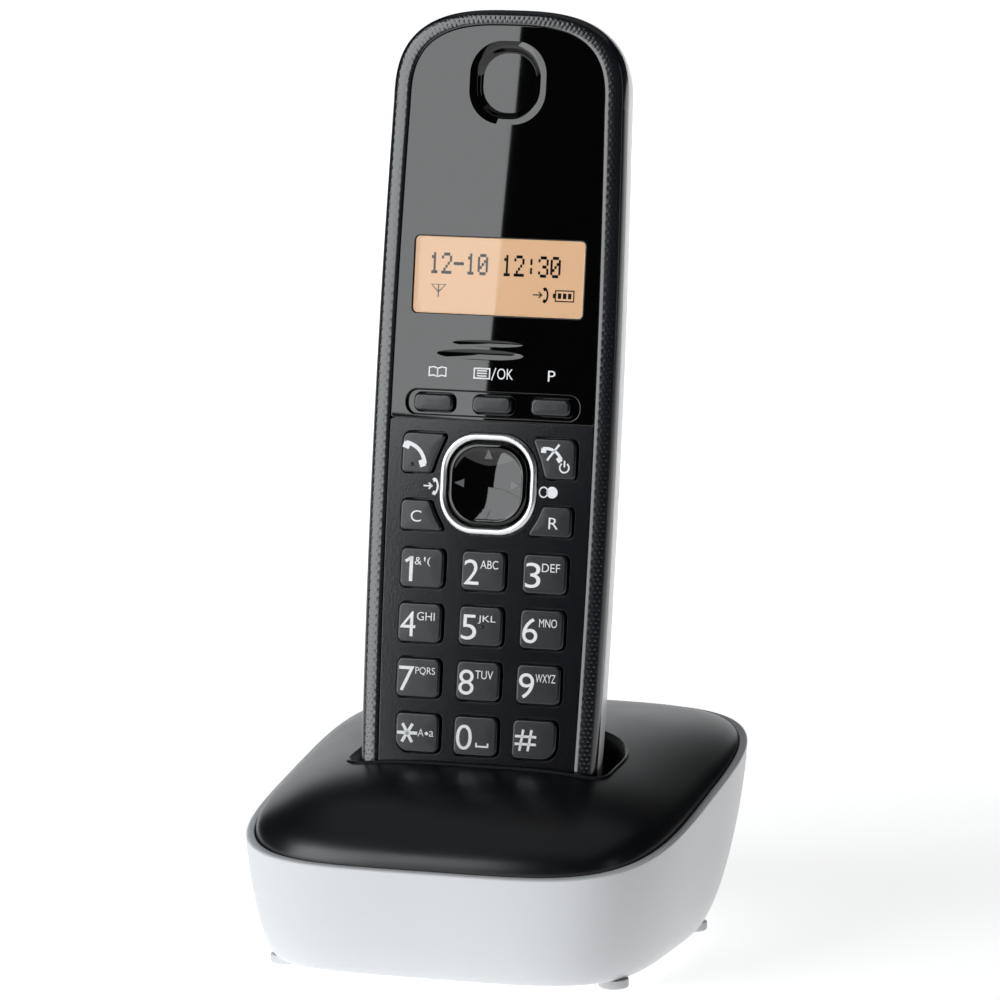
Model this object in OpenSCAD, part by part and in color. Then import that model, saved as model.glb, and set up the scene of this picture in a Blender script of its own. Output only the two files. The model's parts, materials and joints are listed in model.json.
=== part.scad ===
// Cordless telephone handset standing in its charging base.
// World frame: +Z up, the keypad faces -Y, the origin is the centre of the base's footprint at the feet.
// Handset frame: x across, y from the front panel towards the back, z from the bottom end to the top.

/* [Base] */
// Width of the base at its rim
base_w = 88.9; // [84:0.1:96]
// Depth of the base at its rim
base_d = 96.4; // [92:0.1:104]
// Height of the rim at the middle of the base
rim_z = 32.2; // [31:0.1:34]
// Rise of the rim per millimetre towards the back
rim_slope = 0.18; // [0.14:0.01:0.2]
// Width of the underside
foot_w = 75; // [72:1:80]
// Depth of the underside
foot_d = 72; // [68:1:76]
// Centre of the underside, front to back
foot_yc = -8; // [-9:0.5:-5]
// Height of the rubber feet
feet_h = 1.8; // [1.2:0.1:2.2]
// Wall of the white shell
shell_wall = 1.5; // [1.2:0.1:1.8]
// Height of the black cover's dome above the rim
dome_h = 8.5; // [7.5:0.1:10]

/* [Handset] */
// Length of the handset
hs_len = 159.3; // [158:0.1:164]
// Width of the handset at its widest
hs_w = 50.4; // [48:0.2:52]
// Depth of the handset, front to back
hs_depth = 27; // [26:0.5:29]
// Lean of the handset back from upright
recline = 8.64; // [7:0.1:10]
// Front to back place of the handset's bottom front edge
hs_y = -16.9; // [-18:0.1:-16]
// Height of the handset's bottom front edge
hs_z = 29.05; // [28:0.1:30]
// Depth of the black front case at the sides
bezel_d = 3; // [2.5:0.1:4]
// Width of the black bezel beside the front panel
bezel_w = 3.9; // [3:0.1:4.2]
// Wall of the white back case
case_wall = 1.9; // [1.6:0.1:2.2]

/* [Keypad] */
// Width of a number key
key_w = 9.1; // [8:0.1:9.4]
// Height of a number key
key_h = 7.9; // [7:0.1:8.2]
// Height of a key above the front panel
key_proud = 1; // [0.6:0.1:1.2]
// Travel of a key
key_travel = 0.8; // [0.5:0.1:0.8]
// Height of the top row of number keys on the handset
row_top = 48.2; // [47.5:0.1:48.5]
// Spacing of the key rows
row_pitch = 10.9; // [10.7:0.1:11]
// Spacing of the key columns in the top row
col_pitch = 12.8; // [12.5:0.1:13]
// Height of the navigation key's centre on the handset
nav_z = 65.4; // [65:0.1:66]
// Outer size of the navigation ring
nav_ring_d = 20.2; // [19.6:0.1:20.4]
// Height of the soft keys' centre on the handset
soft_z = 81.1; // [80.8:0.1:81.4]

/* [Display] */
// Width of the display window
window_w = 35.3; // [34:0.1:36]
// Height of the display window
window_h = 15.2; // [14:0.1:15.6]
// Height of the display's centre on the handset
window_z = 106.4; // [106:0.1:107]

/* [Battery] */
// Radius of one battery cell
cell_r = 5.1; // [4.9:0.05:5.15]
// Length of one battery cell
cell_len = 44; // [43:0.5:44.5]
// Height of the cells' lower ends on the handset
cell_z = 24; // [23.5:0.5:25]

/* [Hidden] */
$fn = 48;
eps = 0.01;

// Outline exponents of the base: sides, front edge and rear edge
side_exp = 0.45;
front_exp = 0.53;
rear_exp = 0.52;
base_steps = 72;
// Share of the small bottom edge radius in the wall's curve
edge_share = 0.35;
floor_t = 1.8;
floor_top = feet_h + floor_t;
cover_gap = 0.15;
cover_wall = 2;
skirt_h = 5;
// Shares of the shell wall's height that the cover's skirt and its inner parts follow
skirt_shares = [0.25];
cup_shares = [0.9, 0.75, 0.5, 0.25];

// Handset outline: half widths of the bottom end, the middle and the top end
half_mid = hs_w / 2;
half_low = half_mid - 0.8;
half_top = half_mid - 1;
low_r = 10;
top_r = 19;
low_exp = 0.5;
top_exp = 0.7;
// Share of an inset that the top end takes: the bezel is narrower there
top_share = 0.77;
quarter_steps = 8;
side_steps = 6;
// Rounding of the back case: its reach, and its exponents at the sides and at the bottom end
back_round = 13;
back_exp = 0.75;
back_low_exp = 1.3;

// Depths through the front of the handset
panel_t = 1.4;
front_wall_t = 1.4;
wall_back = panel_t + front_wall_t;
flange_y = wall_back + 0.1;
flange_t = 0.6;
key_bottom = flange_y + flange_t;
mat_y = key_bottom + key_travel + 0.2;
mat_t = 0.6;
board_y = mat_y + mat_t + 0.05;
board_t = 1.2;
panel_gap = 0.1;
seam_z = 77.7;
key_gap = 0.3;
key_round = 1.3;
flange_reach = 0.35;
soft_w = 8.2;
soft_h = 3.4;
soft_pitch = 12.2;
soft_proud = 0.6;
soft_round = 1.2;
soft_slot = [36, 4.9];
slot_round = 2.2;
nav_band = 1.5;
nav_cap_d = nav_ring_d - 2 * nav_band - 0.9;
nav_round = 7.6;
nav_pivot_y = 4.35;
ear_z = 144.8;
ear_size = [15.6, 16.2];
ear_slot_x = 4.6;
ear_slot = [0.5, 3.2];

// Battery compartment in the back case
tray_w = 23.4;
tray_low = 21;
tray_high = 72;
tray_y = 11;
tray_wall = 1.5;
cover_low = 17.5;
cover_high = 76;
cover_half = 18.8;
cover_t = 1.6;
door_y = 14;
slide_room = 8.5;
pad_wall = 3.6;
pad_half = 21;
cell_x = cell_r + 0.35;
cell_y = tray_y + cell_r + 0.2;
leaf_y = tray_y + 1.2;

// Inner parts of the handset: inset of the boards, screws, ringer, earpiece speaker and microphone
inside = 4.5;
screw_x = 15;
screw_z = 128;
ringer_z = 118;
ringer_pitch = 2.4;
ringer_r = 8.5;
ear_r = 7.4;
ear_back = 7.4;
mic_z = 8;
mic_back = 4.4;

// Cradle cup: clearance round the handset, wall and floor
cup_gap = 0.8;
cup_front_r = 3;
cup_side_r = 17;
cup_wall = 1.6;
cup_floor = -0.35;
contact_x = 13;
contact_y = 10;
contact_r = 3;
contact_w = 2.4;
terminal = [6, 9, 2.4];
slot_gap = 0.8;
locator_y = 27;
locator_size = [15, 8];
switch_h = 3;
boss_x = 27;
boss_r = 2.8;
boss_ys = [-25, 14];
screw_r = 1;
well_r = 2.6;
foot_r = 3;
foot_x = 34;
foot_ys = [-32, 21];
board_z = 8;
base_board_t = 1.4;
post_x = 19;
post_r = 2;
post_ys = [-23, 10];
// Lower left corners of the two sockets and their sizes
line_pos = [-18, 15.5];
line_size = [14, 18, 12];
power_pos = [6, 17.5];
power_size = [12, 16, 10];

function power(t, e) = sign(t) * pow(abs(t), e);
function mix(a, b, f) = a + (b - a) * f;
function rim_at(y) = rim_z + rim_slope * y;

// One outline of the base: w wide and d deep, drawn in by inset
function base_xy(a, w, d, yc, inset) =
  let(e = sin(a) < 0 ? front_exp : rear_exp)
  [(w / 2 - inset) * power(cos(a), side_exp), (d / 2 - inset) * power(sin(a), e) + yc];

// One ring of the shell's wall, t from 0 at the rim to 1 at the underside
function wall_share(t) = mix(pow(t, 1.5), 1 - sqrt(max(0, 1 - pow(t, 6))), edge_share);
function shell_ring(t, inset, low_z, lift) = [
  for (i = [0:base_steps - 1])
    let(
      a = 360 * i / base_steps,
      p = base_xy(a, base_w, base_d, 0, inset),
      q = base_xy(a, foot_w, foot_d, foot_yc, inset),
      f = wall_share(t)
    )
    [mix(p[0], q[0], f), mix(p[1], q[1], f), mix(rim_at(p[1]) + lift, low_z, t)]
];

// One ring of the cover's dome, rho from 1 at the rim to 0 at the middle
function dome_z(rho, y) =
  rim_at(y) + (dome_h - 4.5 * y / (base_d / 2)) * pow(max(0, 1 - pow(rho, 3)), 0.55);
function dome_ring(rho, inset, drop) = [
  for (i = [0:base_steps - 1])
    let(
      a = 360 * i / base_steps,
      p = base_xy(a, base_w, base_d, 0, inset)
    )
    [p[0] * rho, p[1] * rho, dome_z(rho, p[1] * rho) - drop]
];

// A closed solid through rings of points, each ring counter-clockwise as seen from the last ring's side
module loft(rings) {
  n = len(rings[0]);
  m = len(rings);
  points = [for (ring = rings) each ring];
  sides = [for (k = [0:m - 2], i = [0:n - 1])
    each [
      [k * n + i, (k + 1) * n + i, (k + 1) * n + (i + 1) % n],
      [k * n + i, (k + 1) * n + (i + 1) % n, k * n + (i + 1) % n]
    ]];
  first = [[for (i = [0:n - 1]) i]];
  last = [[for (i = [n - 1:-1:0]) (m - 1) * n + i]];
  polyhedron(points = points, faces = concat(sides, first, last));
}

// Handset outline, drawn in by i at the sides and top and by j at the bottom end:
// the right side from the bottom up, then the left side down
function right_side(i, j) = concat(
  [for (k = [0:quarter_steps])
    let(a = 90 * k / quarter_steps)
    [(half_low - i) * pow(sin(a), low_exp), low_r - (low_r - j) * pow(cos(a), low_exp)]],
  [for (k = [1:side_steps - 1])
    let(z = mix(low_r, hs_len - top_r, k / side_steps))
    [mix(half_low, half_top, k / side_steps) + bulge(k / side_steps) - i, z]],
  [for (k = [0:quarter_steps])
    let(a = 90 * k / quarter_steps)
    [(half_top - i) * pow(cos(a), top_exp),
      hs_len - top_r + (top_r - top_share * i) * pow(sin(a), top_exp)]]
);
function bulge(s) = 4 * s * (1 - s) * (half_mid - (half_low + half_top) / 2);
function outline(i, j) =
  let(r = right_side(i, j), n = len(r))
  concat(r, [for (k = [n - 2:-1:1]) [-r[k][0], r[k][1]]]);
function outline_ring(i, y) = [for (p = outline(i, i)) [p[0], y, p[1]]];

// The back case's rounding, drawn in by inset; a runs from 0 at the parting line to 90 at the back face
function back_inset(a, e) = back_round * pow(1 - cos(a), e);
function back_ring(a, inset) = [
  for (p = outline(back_inset(a, back_exp) + inset, back_inset(a, back_low_exp) + inset))
  [p[0], bezel_d + (hs_depth - inset - bezel_d) * sin(a), p[1]]
];

module in_handset() {
  translate([0, hs_y, hs_z]) rotate([-recline, 0, 0]) children();
}
// A plate between two depths of the handset, from a 2D shape drawn in x and z
module plate(y0, y1) {
  translate([0, y1, 0]) rotate([90, 0, 0]) linear_extrude(y1 - y0) children();
}
module round_rect(w, h, r) {
  square([w, h - 2 * r], center = true);
  square([w - 2 * r, h], center = true);
  for (sx = [-1, 1], sz = [-1, 1]) translate([sx * (w / 2 - r), sz * (h / 2 - r)]) circle(r);
}
module oval(w, h) {
  round_rect(w, h, min(w, h) / 2 - eps);
}
module outline_area(inset, low = -5, high = 200) {
  intersection() {
    polygon(outline(inset, inset));
    translate([-hs_w, low]) square([2 * hs_w, high - low]);
  }
}

function row_z(row) = row_top - row * row_pitch;
function col_x(col, row) = col * (col_pitch - 0.067 * row * row);

// Outlines of the four corner keys, grown by g all round; side is -1 at the left and 1 at the right
module upper_corner_key(side, g = 0) {
  polygon([
    [side * (18.1 + g), 75.1 + g], [side * (8.9 - 1.3 * g), 75 + g],
    [side * (11.9 - 1.3 * g), 67 - g], [side * (18 + g), 67 - g]
  ]);
}
module lower_corner_key(side, g = 0) {
  polygon([
    [side * (17.9 + g), 61.7 + g], [side * (11.6 - g), 61.7 + g],
    [side * (8.6 - 1.4 * g), 55.6 - g], [side * (17.8 + g), 55.6 - g]
  ]);
}
module number_key_area(col, row, g = 0) {
  translate([col_x(col, row), row_z(row)]) round_rect(key_w + 2 * g, key_h + 2 * g, key_round + g);
}
module soft_key_area(col, g = 0) {
  translate([col * soft_pitch, soft_z]) round_rect(soft_w + 2 * g, soft_h + 2 * g, soft_round + g);
}
module nav_area(d) {
  translate([0, nav_z]) round_rect(d, d, nav_round * d / nav_ring_d);
}
module all_key_areas(g) {
  for (side = [-1, 1]) {
    upper_corner_key(side, g);
    lower_corner_key(side, g);
  }
  for (row = [0:3], col = [-1:1]) number_key_area(col, row, g);
}

// The key that fills one outline: child 0 is the cap's outline, child 1 its flange's
module key_body(proud) {
  plate(-proud, flange_y + eps) children(0);
  plate(flange_y, key_bottom) children(1);
}
module number_key(col, row) {
  color("#2b2c2f") in_handset() key_body(key_proud) {
    number_key_area(col, row);
    number_key_area(col, row, key_gap + flange_reach);
  }
}
module soft_key(col) {
  color("#303236") in_handset() key_body(soft_proud) {
    soft_key_area(col);
    soft_key_area(col, key_gap + flange_reach);
  }
}

module shell_outside() {
  loft([for (t = [1, 0.97, 0.9, 0.75, 0.55, 0.3, 0]) shell_ring(t, 0, feet_h, 0)]);
}
module base_shell() {
  color("white") difference() {
    union() {
      difference() {
        shell_outside();
        loft([for (t = [1, 0.75, 0.5, 0.25, 0]) shell_ring(t, shell_wall, floor_top, eps)]);
      }
      // Frames that close the gap between the sockets and the sloping wall
      intersection() {
        shell_outside();
        jack_windows(1.2, 30);
      }
    }
    jack_windows(0.2, 28);
    for (y = boss_ys, sx = [-1, 1])
      translate([sx * boss_x, y, 0]) cylinder(r = well_r + 0.3, h = floor_top + 1);
  }
  color("white") for (y = boss_ys, sx = [-1, 1]) translate([sx * boss_x, y, feet_h]) difference() {
    cylinder(r = well_r + 1.4, h = 4);
    translate([0, 0, -eps]) cylinder(r = well_r, h = 2.8);
    cylinder(r = screw_r + 0.4, h = 5);
  }
  // Posts under the circuit board
  color("white") for (y = post_ys, sx = [-1, 1]) translate([sx * post_x, y, floor_top - 0.5])
    cylinder(r = post_r, h = board_z - floor_top + 0.5);
}
// Blocks round the two sockets, grown by g and running back from y0
module jack_windows(g, y0) {
  for (jack = [[line_pos, line_size], [power_pos, power_size]])
    translate([jack[0][0] - g, y0, board_z + base_board_t - g])
      cube([jack[1][0] + 2 * g, 25, jack[1][2] + 2 * g]);
}

module handset_prism(grow, low, high) {
  in_handset() translate([0, 0, low]) linear_extrude(high - low) {
    half = half_mid + cup_gap + grow;
    front = -cup_gap - grow;
    back = hs_depth + cup_gap + grow;
    front_r = cup_front_r + grow;
    polygon(concat(
      [for (a = [0:15:90]) [half - front_r + front_r * sin(a), front + front_r - front_r * cos(a)]],
      [for (a = [0:15:90])
        [half - cup_side_r + cup_side_r * cos(a), back - cup_side_r + cup_side_r * sin(a)]],
      [for (a = [90:-15:0])
        [-(half - cup_side_r + cup_side_r * cos(a)), back - cup_side_r + cup_side_r * sin(a)]],
      [for (a = [90:-15:0]) [-(half - front_r + front_r * sin(a)), front + front_r - front_r * cos(a)]]
    ));
  }
}
// The cover's dome with a foot that follows the shell's wall down through the given shares of its height
module dome_solid(inset, drop, shares) {
  loft(concat(
    [for (t = shares) shell_ring(t, inset, floor_top, 0)],
    [for (rho = [1, 0.985, 0.95, 0.88, 0.76, 0.6, 0.4, 0.15]) dome_ring(rho, inset, drop)]
  ));
}
module base_top_cover() {
  outer = shell_wall + cover_gap;
  color("#141518") difference() {
    union() {
      difference() {
        dome_solid(outer, 0, skirt_shares);
        dome_solid(outer + cover_wall, cover_wall, skirt_shares);
        // The skirt follows the sloping rim
        skirt_cut();
      }
      intersection() {
        handset_prism(cup_wall, cup_floor - cup_wall, 40);
        dome_solid(outer, 0, cup_shares);
      }
      intersection() {
        cover_bosses();
        dome_solid(outer, 0.5, cup_shares);
      }
    }
    handset_prism(0, cup_floor, 60);
    contact_slots();
    translate([0, locator_y, 20]) linear_extrude(40) oval(locator_size[0] + 0.8, locator_size[1] + 0.8);
    for (y = boss_ys, sx = [-1, 1]) translate([sx * boss_x, y, 0]) cylinder(r = screw_r, h = 15);
  }
}
module skirt_cut() {
  translate([0, 0, rim_z - skirt_h]) rotate([atan(rim_slope), 0, 0])
    translate([-80, -90, -60]) cube([160, 180, 60]);
}
module cover_bosses() {
  for (y = boss_ys, sx = [-1, 1]) translate([sx * boss_x, y, 6]) cylinder(r = boss_r, h = 45);
}
module contact_slots() {
  in_handset() for (sx = [-1, 1])
    translate([sx * contact_x, contact_y, cup_floor - 2])
      cube([contact_w + slot_gap, 2 * contact_r + slot_gap, 12], center = true);
}

module base_feet() {
  color("gainsboro") for (y = foot_ys, sx = [-1, 1])
    translate([sx * foot_x, y, 0]) cylinder(r = foot_r, h = feet_h);
}
module base_screws() {
  color("silver") for (y = boss_ys, sx = [-1, 1]) translate([sx * boss_x, y, 3]) difference() {
    union() {
      cylinder(r = 2.1, h = 1.5);
      cylinder(r = screw_r, h = 11);
    }
    for (turn = [0, 90]) rotate(turn) translate([-1.4, -0.25, -eps]) cube([2.8, 0.5, 0.7]);
  }
}
module base_circuit_board() {
  color("darkgreen") translate([-23, -27, board_z]) cube([46, 55, base_board_t]);
}
module base_rf_shield() {
  color("silver") translate([-12, -24, board_z + base_board_t]) cube([24, 17, 3]);
}
// Socket body with its mouth on the rear face
module socket_body(size, mouth_w, mouth_h, mouth_d) {
  difference() {
    cube(size);
    translate([(size[0] - mouth_w) / 2, size[1] - mouth_d, (size[2] - mouth_h) / 2])
      cube([mouth_w, mouth_d + 1, mouth_h]);
  }
}
module line_jack() {
  translate([line_pos[0], line_pos[1], board_z + base_board_t]) {
    color("#26282b") socket_body(line_size, 10, 7, 13);
    color("gold") for (k = [0:3]) translate([5.3 + k, 5, 2.4]) cube([0.4, 8, 0.9]);
  }
}
module power_jack() {
  translate([power_pos[0], power_pos[1], board_z + base_board_t]) {
    color("#26282b") socket_body(power_size, 8, 6, 10);
    color("silver") for (k = [-1, 1]) translate([5.6 + 2 * k, 5.5, 1.9]) cube([0.8, 7, 0.7]);
  }
}
module contact_holder() {
  color("#33363a") in_handset() difference() {
    translate([-contact_x - 4.5, contact_y - 5, cup_floor - cup_wall - 6])
      cube([2 * contact_x + 9, 10, 6]);
    for (sx = [-1, 1]) translate([sx * contact_x, contact_y, -4])
      cube([contact_w + slot_gap, 2 * contact_r + slot_gap, 7], center = true);
  }
}
// Sprung charging contact: a rounded tongue that touches the handset's terminal
module charge_contact(side) {
  x = side * contact_x - contact_w / 2;
  color("silver") in_handset() translate([x, contact_y, -0.05 - contact_r]) {
    rotate([0, 90, 0]) cylinder(r = contact_r, h = contact_w);
    translate([0, -1.5, -contact_r]) cube([contact_w, 3, contact_r]);
  }
}
module charge_contact_left() charge_contact(-1);
module charge_contact_right() charge_contact(1);
// Handset locator: an oval cap in the top cover with a stem down to a switch on the circuit board
module locator_button() {
  top = dome_z(locator_y / (base_d / 2 - shell_wall), locator_y) + 0.5;
  low = board_z + base_board_t + switch_h + 0.05;
  color("#222327") translate([0, locator_y, 0]) {
    translate([0, 0, top - 4.4]) linear_extrude(4.4) oval(locator_size[0], locator_size[1]);
    translate([0, 0, top - 4.4]) linear_extrude(1) oval(locator_size[0] + 2, locator_size[1] + 2);
    translate([0, -2, low]) cylinder(r = 1.6, h = top - 4 - low);
  }
}
module locator_switch() {
  color("dimgray") translate([-2.5, locator_y - 4.5, board_z + base_board_t])
    cube([5, 5, switch_h - 1.2]);
}

module handset_front_case() {
  color("#3a3b3e") in_handset() difference() {
    loft([
      outline_ring(0, bezel_d), outline_ring(0.1, 2.2), outline_ring(0.7, 1.1),
      outline_ring(1.7, 0.4), outline_ring(bezel_w, 0)
    ]);
    plate(-1, panel_t) outline_area(bezel_w + panel_gap);
    plate(wall_back, 5) outline_area(case_wall);
    plate(-1, 5) {
      all_key_areas(key_gap);
      for (col = [-1:1]) soft_key_area(col, key_gap);
      nav_area(nav_cap_d + 1.4);
      translate([0, window_z]) square([window_w + 3.4, window_h + 5.4], center = true);
      translate([0, ear_z]) oval(ear_size[0] + 1, ear_size[1] - 1);
      translate([0, mic_z]) circle(1);
    }
  }
  color("#3a3b3e") in_handset() plate(wall_back, board_y) screw_places() difference() {
    circle(2.4);
    circle(screw_r);
  }
}
module screw_places() {
  for (side = [-1, 1]) translate([side * screw_x, screw_z]) children();
}
module back_solid(inset) {
  loft([for (a = [90, 78, 66, 54, 42, 30, 18, 0]) back_ring(a, inset)]);
}
module battery_box(grow, y0) {
  translate([-tray_w / 2 - grow, y0 - grow, tray_low - grow])
    cube([tray_w + 2 * grow, hs_depth, tray_high - tray_low + 2 * grow]);
}
module handset_back_case() {
  color("white") in_handset() difference() {
    union() {
      difference() {
        back_solid(0);
        back_solid(case_wall);
        plate(0, bezel_d + 0.6) outline_area(case_wall);
      }
      // Thicker wall round the battery door, and the tray that holds the cells
      intersection() {
        difference() {
          back_solid(0.2);
          back_solid(pad_wall);
        }
        translate([-pad_half, door_y, slide_room - 2])
          cube([2 * pad_half, hs_depth, cover_high + 4 - slide_room]);
      }
      intersection() {
        back_solid(0.2);
        battery_box(tray_wall, tray_y);
      }
    }
    battery_box(0, tray_y);
    // Recess that the door slides in
    difference() {
      translate([-cover_half - 0.2, door_y, slide_room])
        cube([2 * cover_half + 0.4, hs_depth, cover_high + 0.2 - slide_room]);
      back_solid(cover_t + 0.15);
    }
    terminal_areas(0.05);
    // Sound slots over the ringer
    for (k = [-2:2]) translate([-6, hs_depth - 5, ringer_z + ringer_pitch * k]) cube([12, 10, 1]);
  }
}
module terminal_areas(g) {
  for (sx = [-1, 1]) translate([sx * contact_x, contact_y, terminal[2] / 2])
    cube([terminal[0] + 2 * g, terminal[1] + 2 * g, terminal[2] + 2 * g], center = true);
}
module charge_terminals() {
  color("silver") in_handset() intersection() {
    terminal_areas(0);
    translate([0, contact_y, 50]) cube([60, 30, 100], center = true);
  }
}
module battery_cover() {
  color("white") in_handset() intersection() {
    difference() {
      back_solid(0);
      back_solid(cover_t);
    }
    translate([-cover_half, door_y + 1, cover_low])
      cube([2 * cover_half, hs_depth, cover_high - cover_low]);
  }
}
module front_panel() {
  color("#0b0b0d") in_handset() difference() {
    plate(0, panel_t) outline_area(bezel_w + 2 * panel_gap, seam_z + panel_gap);
    plate(-1, 3) {
      translate([0, window_z]) square([window_w, window_h], center = true);
      translate([0, soft_z]) round_rect(soft_slot[0], soft_slot[1], slot_round);
      translate([0, ear_z]) oval(ear_size[0], ear_size[1]);
    }
  }
}
module display_window() {
  color("#c8b48c") in_handset() plate(0.15, 1.35) translate([0, window_z])
    square([window_w - 0.1, window_h - 0.1], center = true);
}
module lcd_glass() {
  color("#e0b890") in_handset() plate(1.6, 3) translate([0, window_z])
    square([window_w + 2.4, window_h + 4.4], center = true);
}
module lcd_backlight() {
  color("ivory") in_handset() plate(3.05, board_y) translate([0, window_z])
    square([window_w + 3, window_h + 5], center = true);
}
module keypad_plate() {
  color("#232428") in_handset() difference() {
    plate(0.1, panel_t) outline_area(bezel_w + 2 * panel_gap, -5, seam_z - panel_gap);
    plate(-1, 3) {
      all_key_areas(key_gap);
      nav_area(nav_ring_d + 0.1);
      translate([0, mic_z]) circle(0.5);
    }
  }
}
module keypad_mat() {
  color("dimgray") in_handset() plate(mat_y, mat_y + mat_t) outline_area(inside, 8, 84.5);
}
module nav_ring() {
  color("silver") in_handset() plate(-0.8, panel_t) difference() {
    nav_area(nav_ring_d);
    nav_area(nav_ring_d - 2 * nav_band);
  }
}
module nav_button() {
  color("#0b0b0d") in_handset() {
    plate(-0.9, 2.4) nav_area(nav_cap_d);
    plate(2.4, 2.8) translate([0, nav_z]) circle(2.4);
  }
}
module nav_rocker() {
  color("gray") in_handset() {
    plate(3, 3.6) nav_area(nav_cap_d - 0.4);
    plate(3.6, nav_pivot_y) translate([0, nav_z]) circle(1.5);
  }
}
module soft_key_left() soft_key(-1);
module soft_key_middle() soft_key(0);
module soft_key_right() soft_key(1);
module corner_key_upper(side) {
  color("#2b2c2f") in_handset() key_body(key_proud) {
    upper_corner_key(side);
    upper_corner_key(side, key_gap + flange_reach);
  }
}
module corner_key_lower(side) {
  color("#2b2c2f") in_handset() key_body(key_proud) {
    lower_corner_key(side);
    lower_corner_key(side, key_gap + flange_reach);
  }
}
module talk_key() corner_key_upper(-1);
module off_key() corner_key_upper(1);
module clear_key() corner_key_lower(-1);
module recall_key() corner_key_lower(1);
module key_1() number_key(-1, 0);
module key_2() number_key(0, 0);
module key_3() number_key(1, 0);
module key_4() number_key(-1, 1);
module key_5() number_key(0, 1);
module key_6() number_key(1, 1);
module key_7() number_key(-1, 2);
module key_8() number_key(0, 2);
module key_9() number_key(1, 2);
module key_star() number_key(-1, 3);
module key_0() number_key(0, 3);
module key_hash() number_key(1, 3);
module earpiece_mesh() {
  color("#0b0b0d") in_handset() difference() {
    plate(1, 2.2) translate([0, ear_z]) oval(ear_size[0] - 0.1, ear_size[1] - 1.2);
    for (side = [-1, 1]) plate(0, 3)
      translate([side * ear_slot_x, ear_z]) square(ear_slot, center = true);
  }
}
module earpiece_speaker() {
  color("darkgray") in_handset() translate([0, ear_back, ear_z]) rotate([90, 0, 0])
    cylinder(r = ear_r, h = 4.4);
}
module ringer_speaker() {
  color("darkgray") in_handset() translate([0, hs_depth - 3.4, ringer_z]) rotate([90, 0, 0])
    cylinder(r = ringer_r, h = 4.2);
}
module microphone() {
  color("silver") in_handset() translate([0, mic_back, mic_z]) rotate([90, 0, 0])
    cylinder(r = 2, h = 1.5);
}
module handset_circuit_board() {
  color("darkgreen") in_handset() plate(board_y, board_y + board_t) difference() {
    outline_area(inside, 13, 134);
    screw_places() circle(screw_r + 0.1);
  }
}
module handset_rf_shield() {
  color("silver") in_handset() plate(board_y + board_t, board_y + board_t + 2.6)
    translate([0, 98]) square([26, 22], center = true);
}
module battery_cell(side) {
  color("seagreen") in_handset() translate([side * cell_x, cell_y, cell_z]) {
    cylinder(r = cell_r, h = cell_len - 1);
    cylinder(r = 1.9, h = cell_len);
  }
}
module battery_cell_left() battery_cell(-1);
module battery_cell_right() battery_cell(1);
// Coil ends at the bottom and leaf contacts at the top of the two cells
module battery_contacts() {
  color("silver") in_handset() for (side = [-1, 1]) {
    translate([side * cell_x, cell_y, tray_low + 0.1]) {
      cylinder(r = 3.6, h = 0.5);
      cylinder(r = 2.4, h = cell_z - tray_low - 0.15);
    }
    translate([side * cell_x - 4, leaf_y, cell_z + cell_len + 0.05]) cube([8, 8, 0.8]);
    translate([side * cell_x - 4, leaf_y, tray_high - 0.9]) cube([8, 8, 0.8]);
    translate([side * cell_x - 1, leaf_y, cell_z + cell_len + 0.1]) cube([2, 0.8, 3.4]);
  }
}
module handset_screws() {
  head_y = board_y + board_t;
  color("silver") in_handset() {
    plate(head_y, head_y + 1.2) screw_places() circle(2);
    plate(wall_back + 0.1, head_y) screw_places() circle(screw_r);
  }
}

base_shell();
base_top_cover();
base_feet();
base_screws();
base_circuit_board();
base_rf_shield();
line_jack();
power_jack();
contact_holder();
charge_contact_left();
charge_contact_right();
locator_button();
locator_switch();
handset_front_case();
handset_back_case();
front_panel();
display_window();
lcd_glass();
lcd_backlight();
keypad_plate();
keypad_mat();
nav_ring();
nav_rocker();
nav_button();
soft_key_left();
soft_key_middle();
soft_key_right();
talk_key();
off_key();
clear_key();
recall_key();
key_1();
key_2();
key_3();
key_4();
key_5();
key_6();
key_7();
key_8();
key_9();
key_star();
key_0();
key_hash();
earpiece_mesh();
earpiece_speaker();
ringer_speaker();
microphone();
handset_circuit_board();
handset_rf_shield();
battery_cell_left();
battery_cell_right();
battery_contacts();
battery_cover();
charge_terminals();
handset_screws();
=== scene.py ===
"""Looks of the cordless telephone handset and its charging base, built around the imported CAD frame.

Lengths of the pieces are millimetres until plain_object() turns them into metres. Handset frame: x
across, y from the front panel towards the back, z from the bottom end to the top.
"""
import json
import math

import bmesh
import bpy
import numpy as np
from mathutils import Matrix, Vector, geometry


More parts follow.
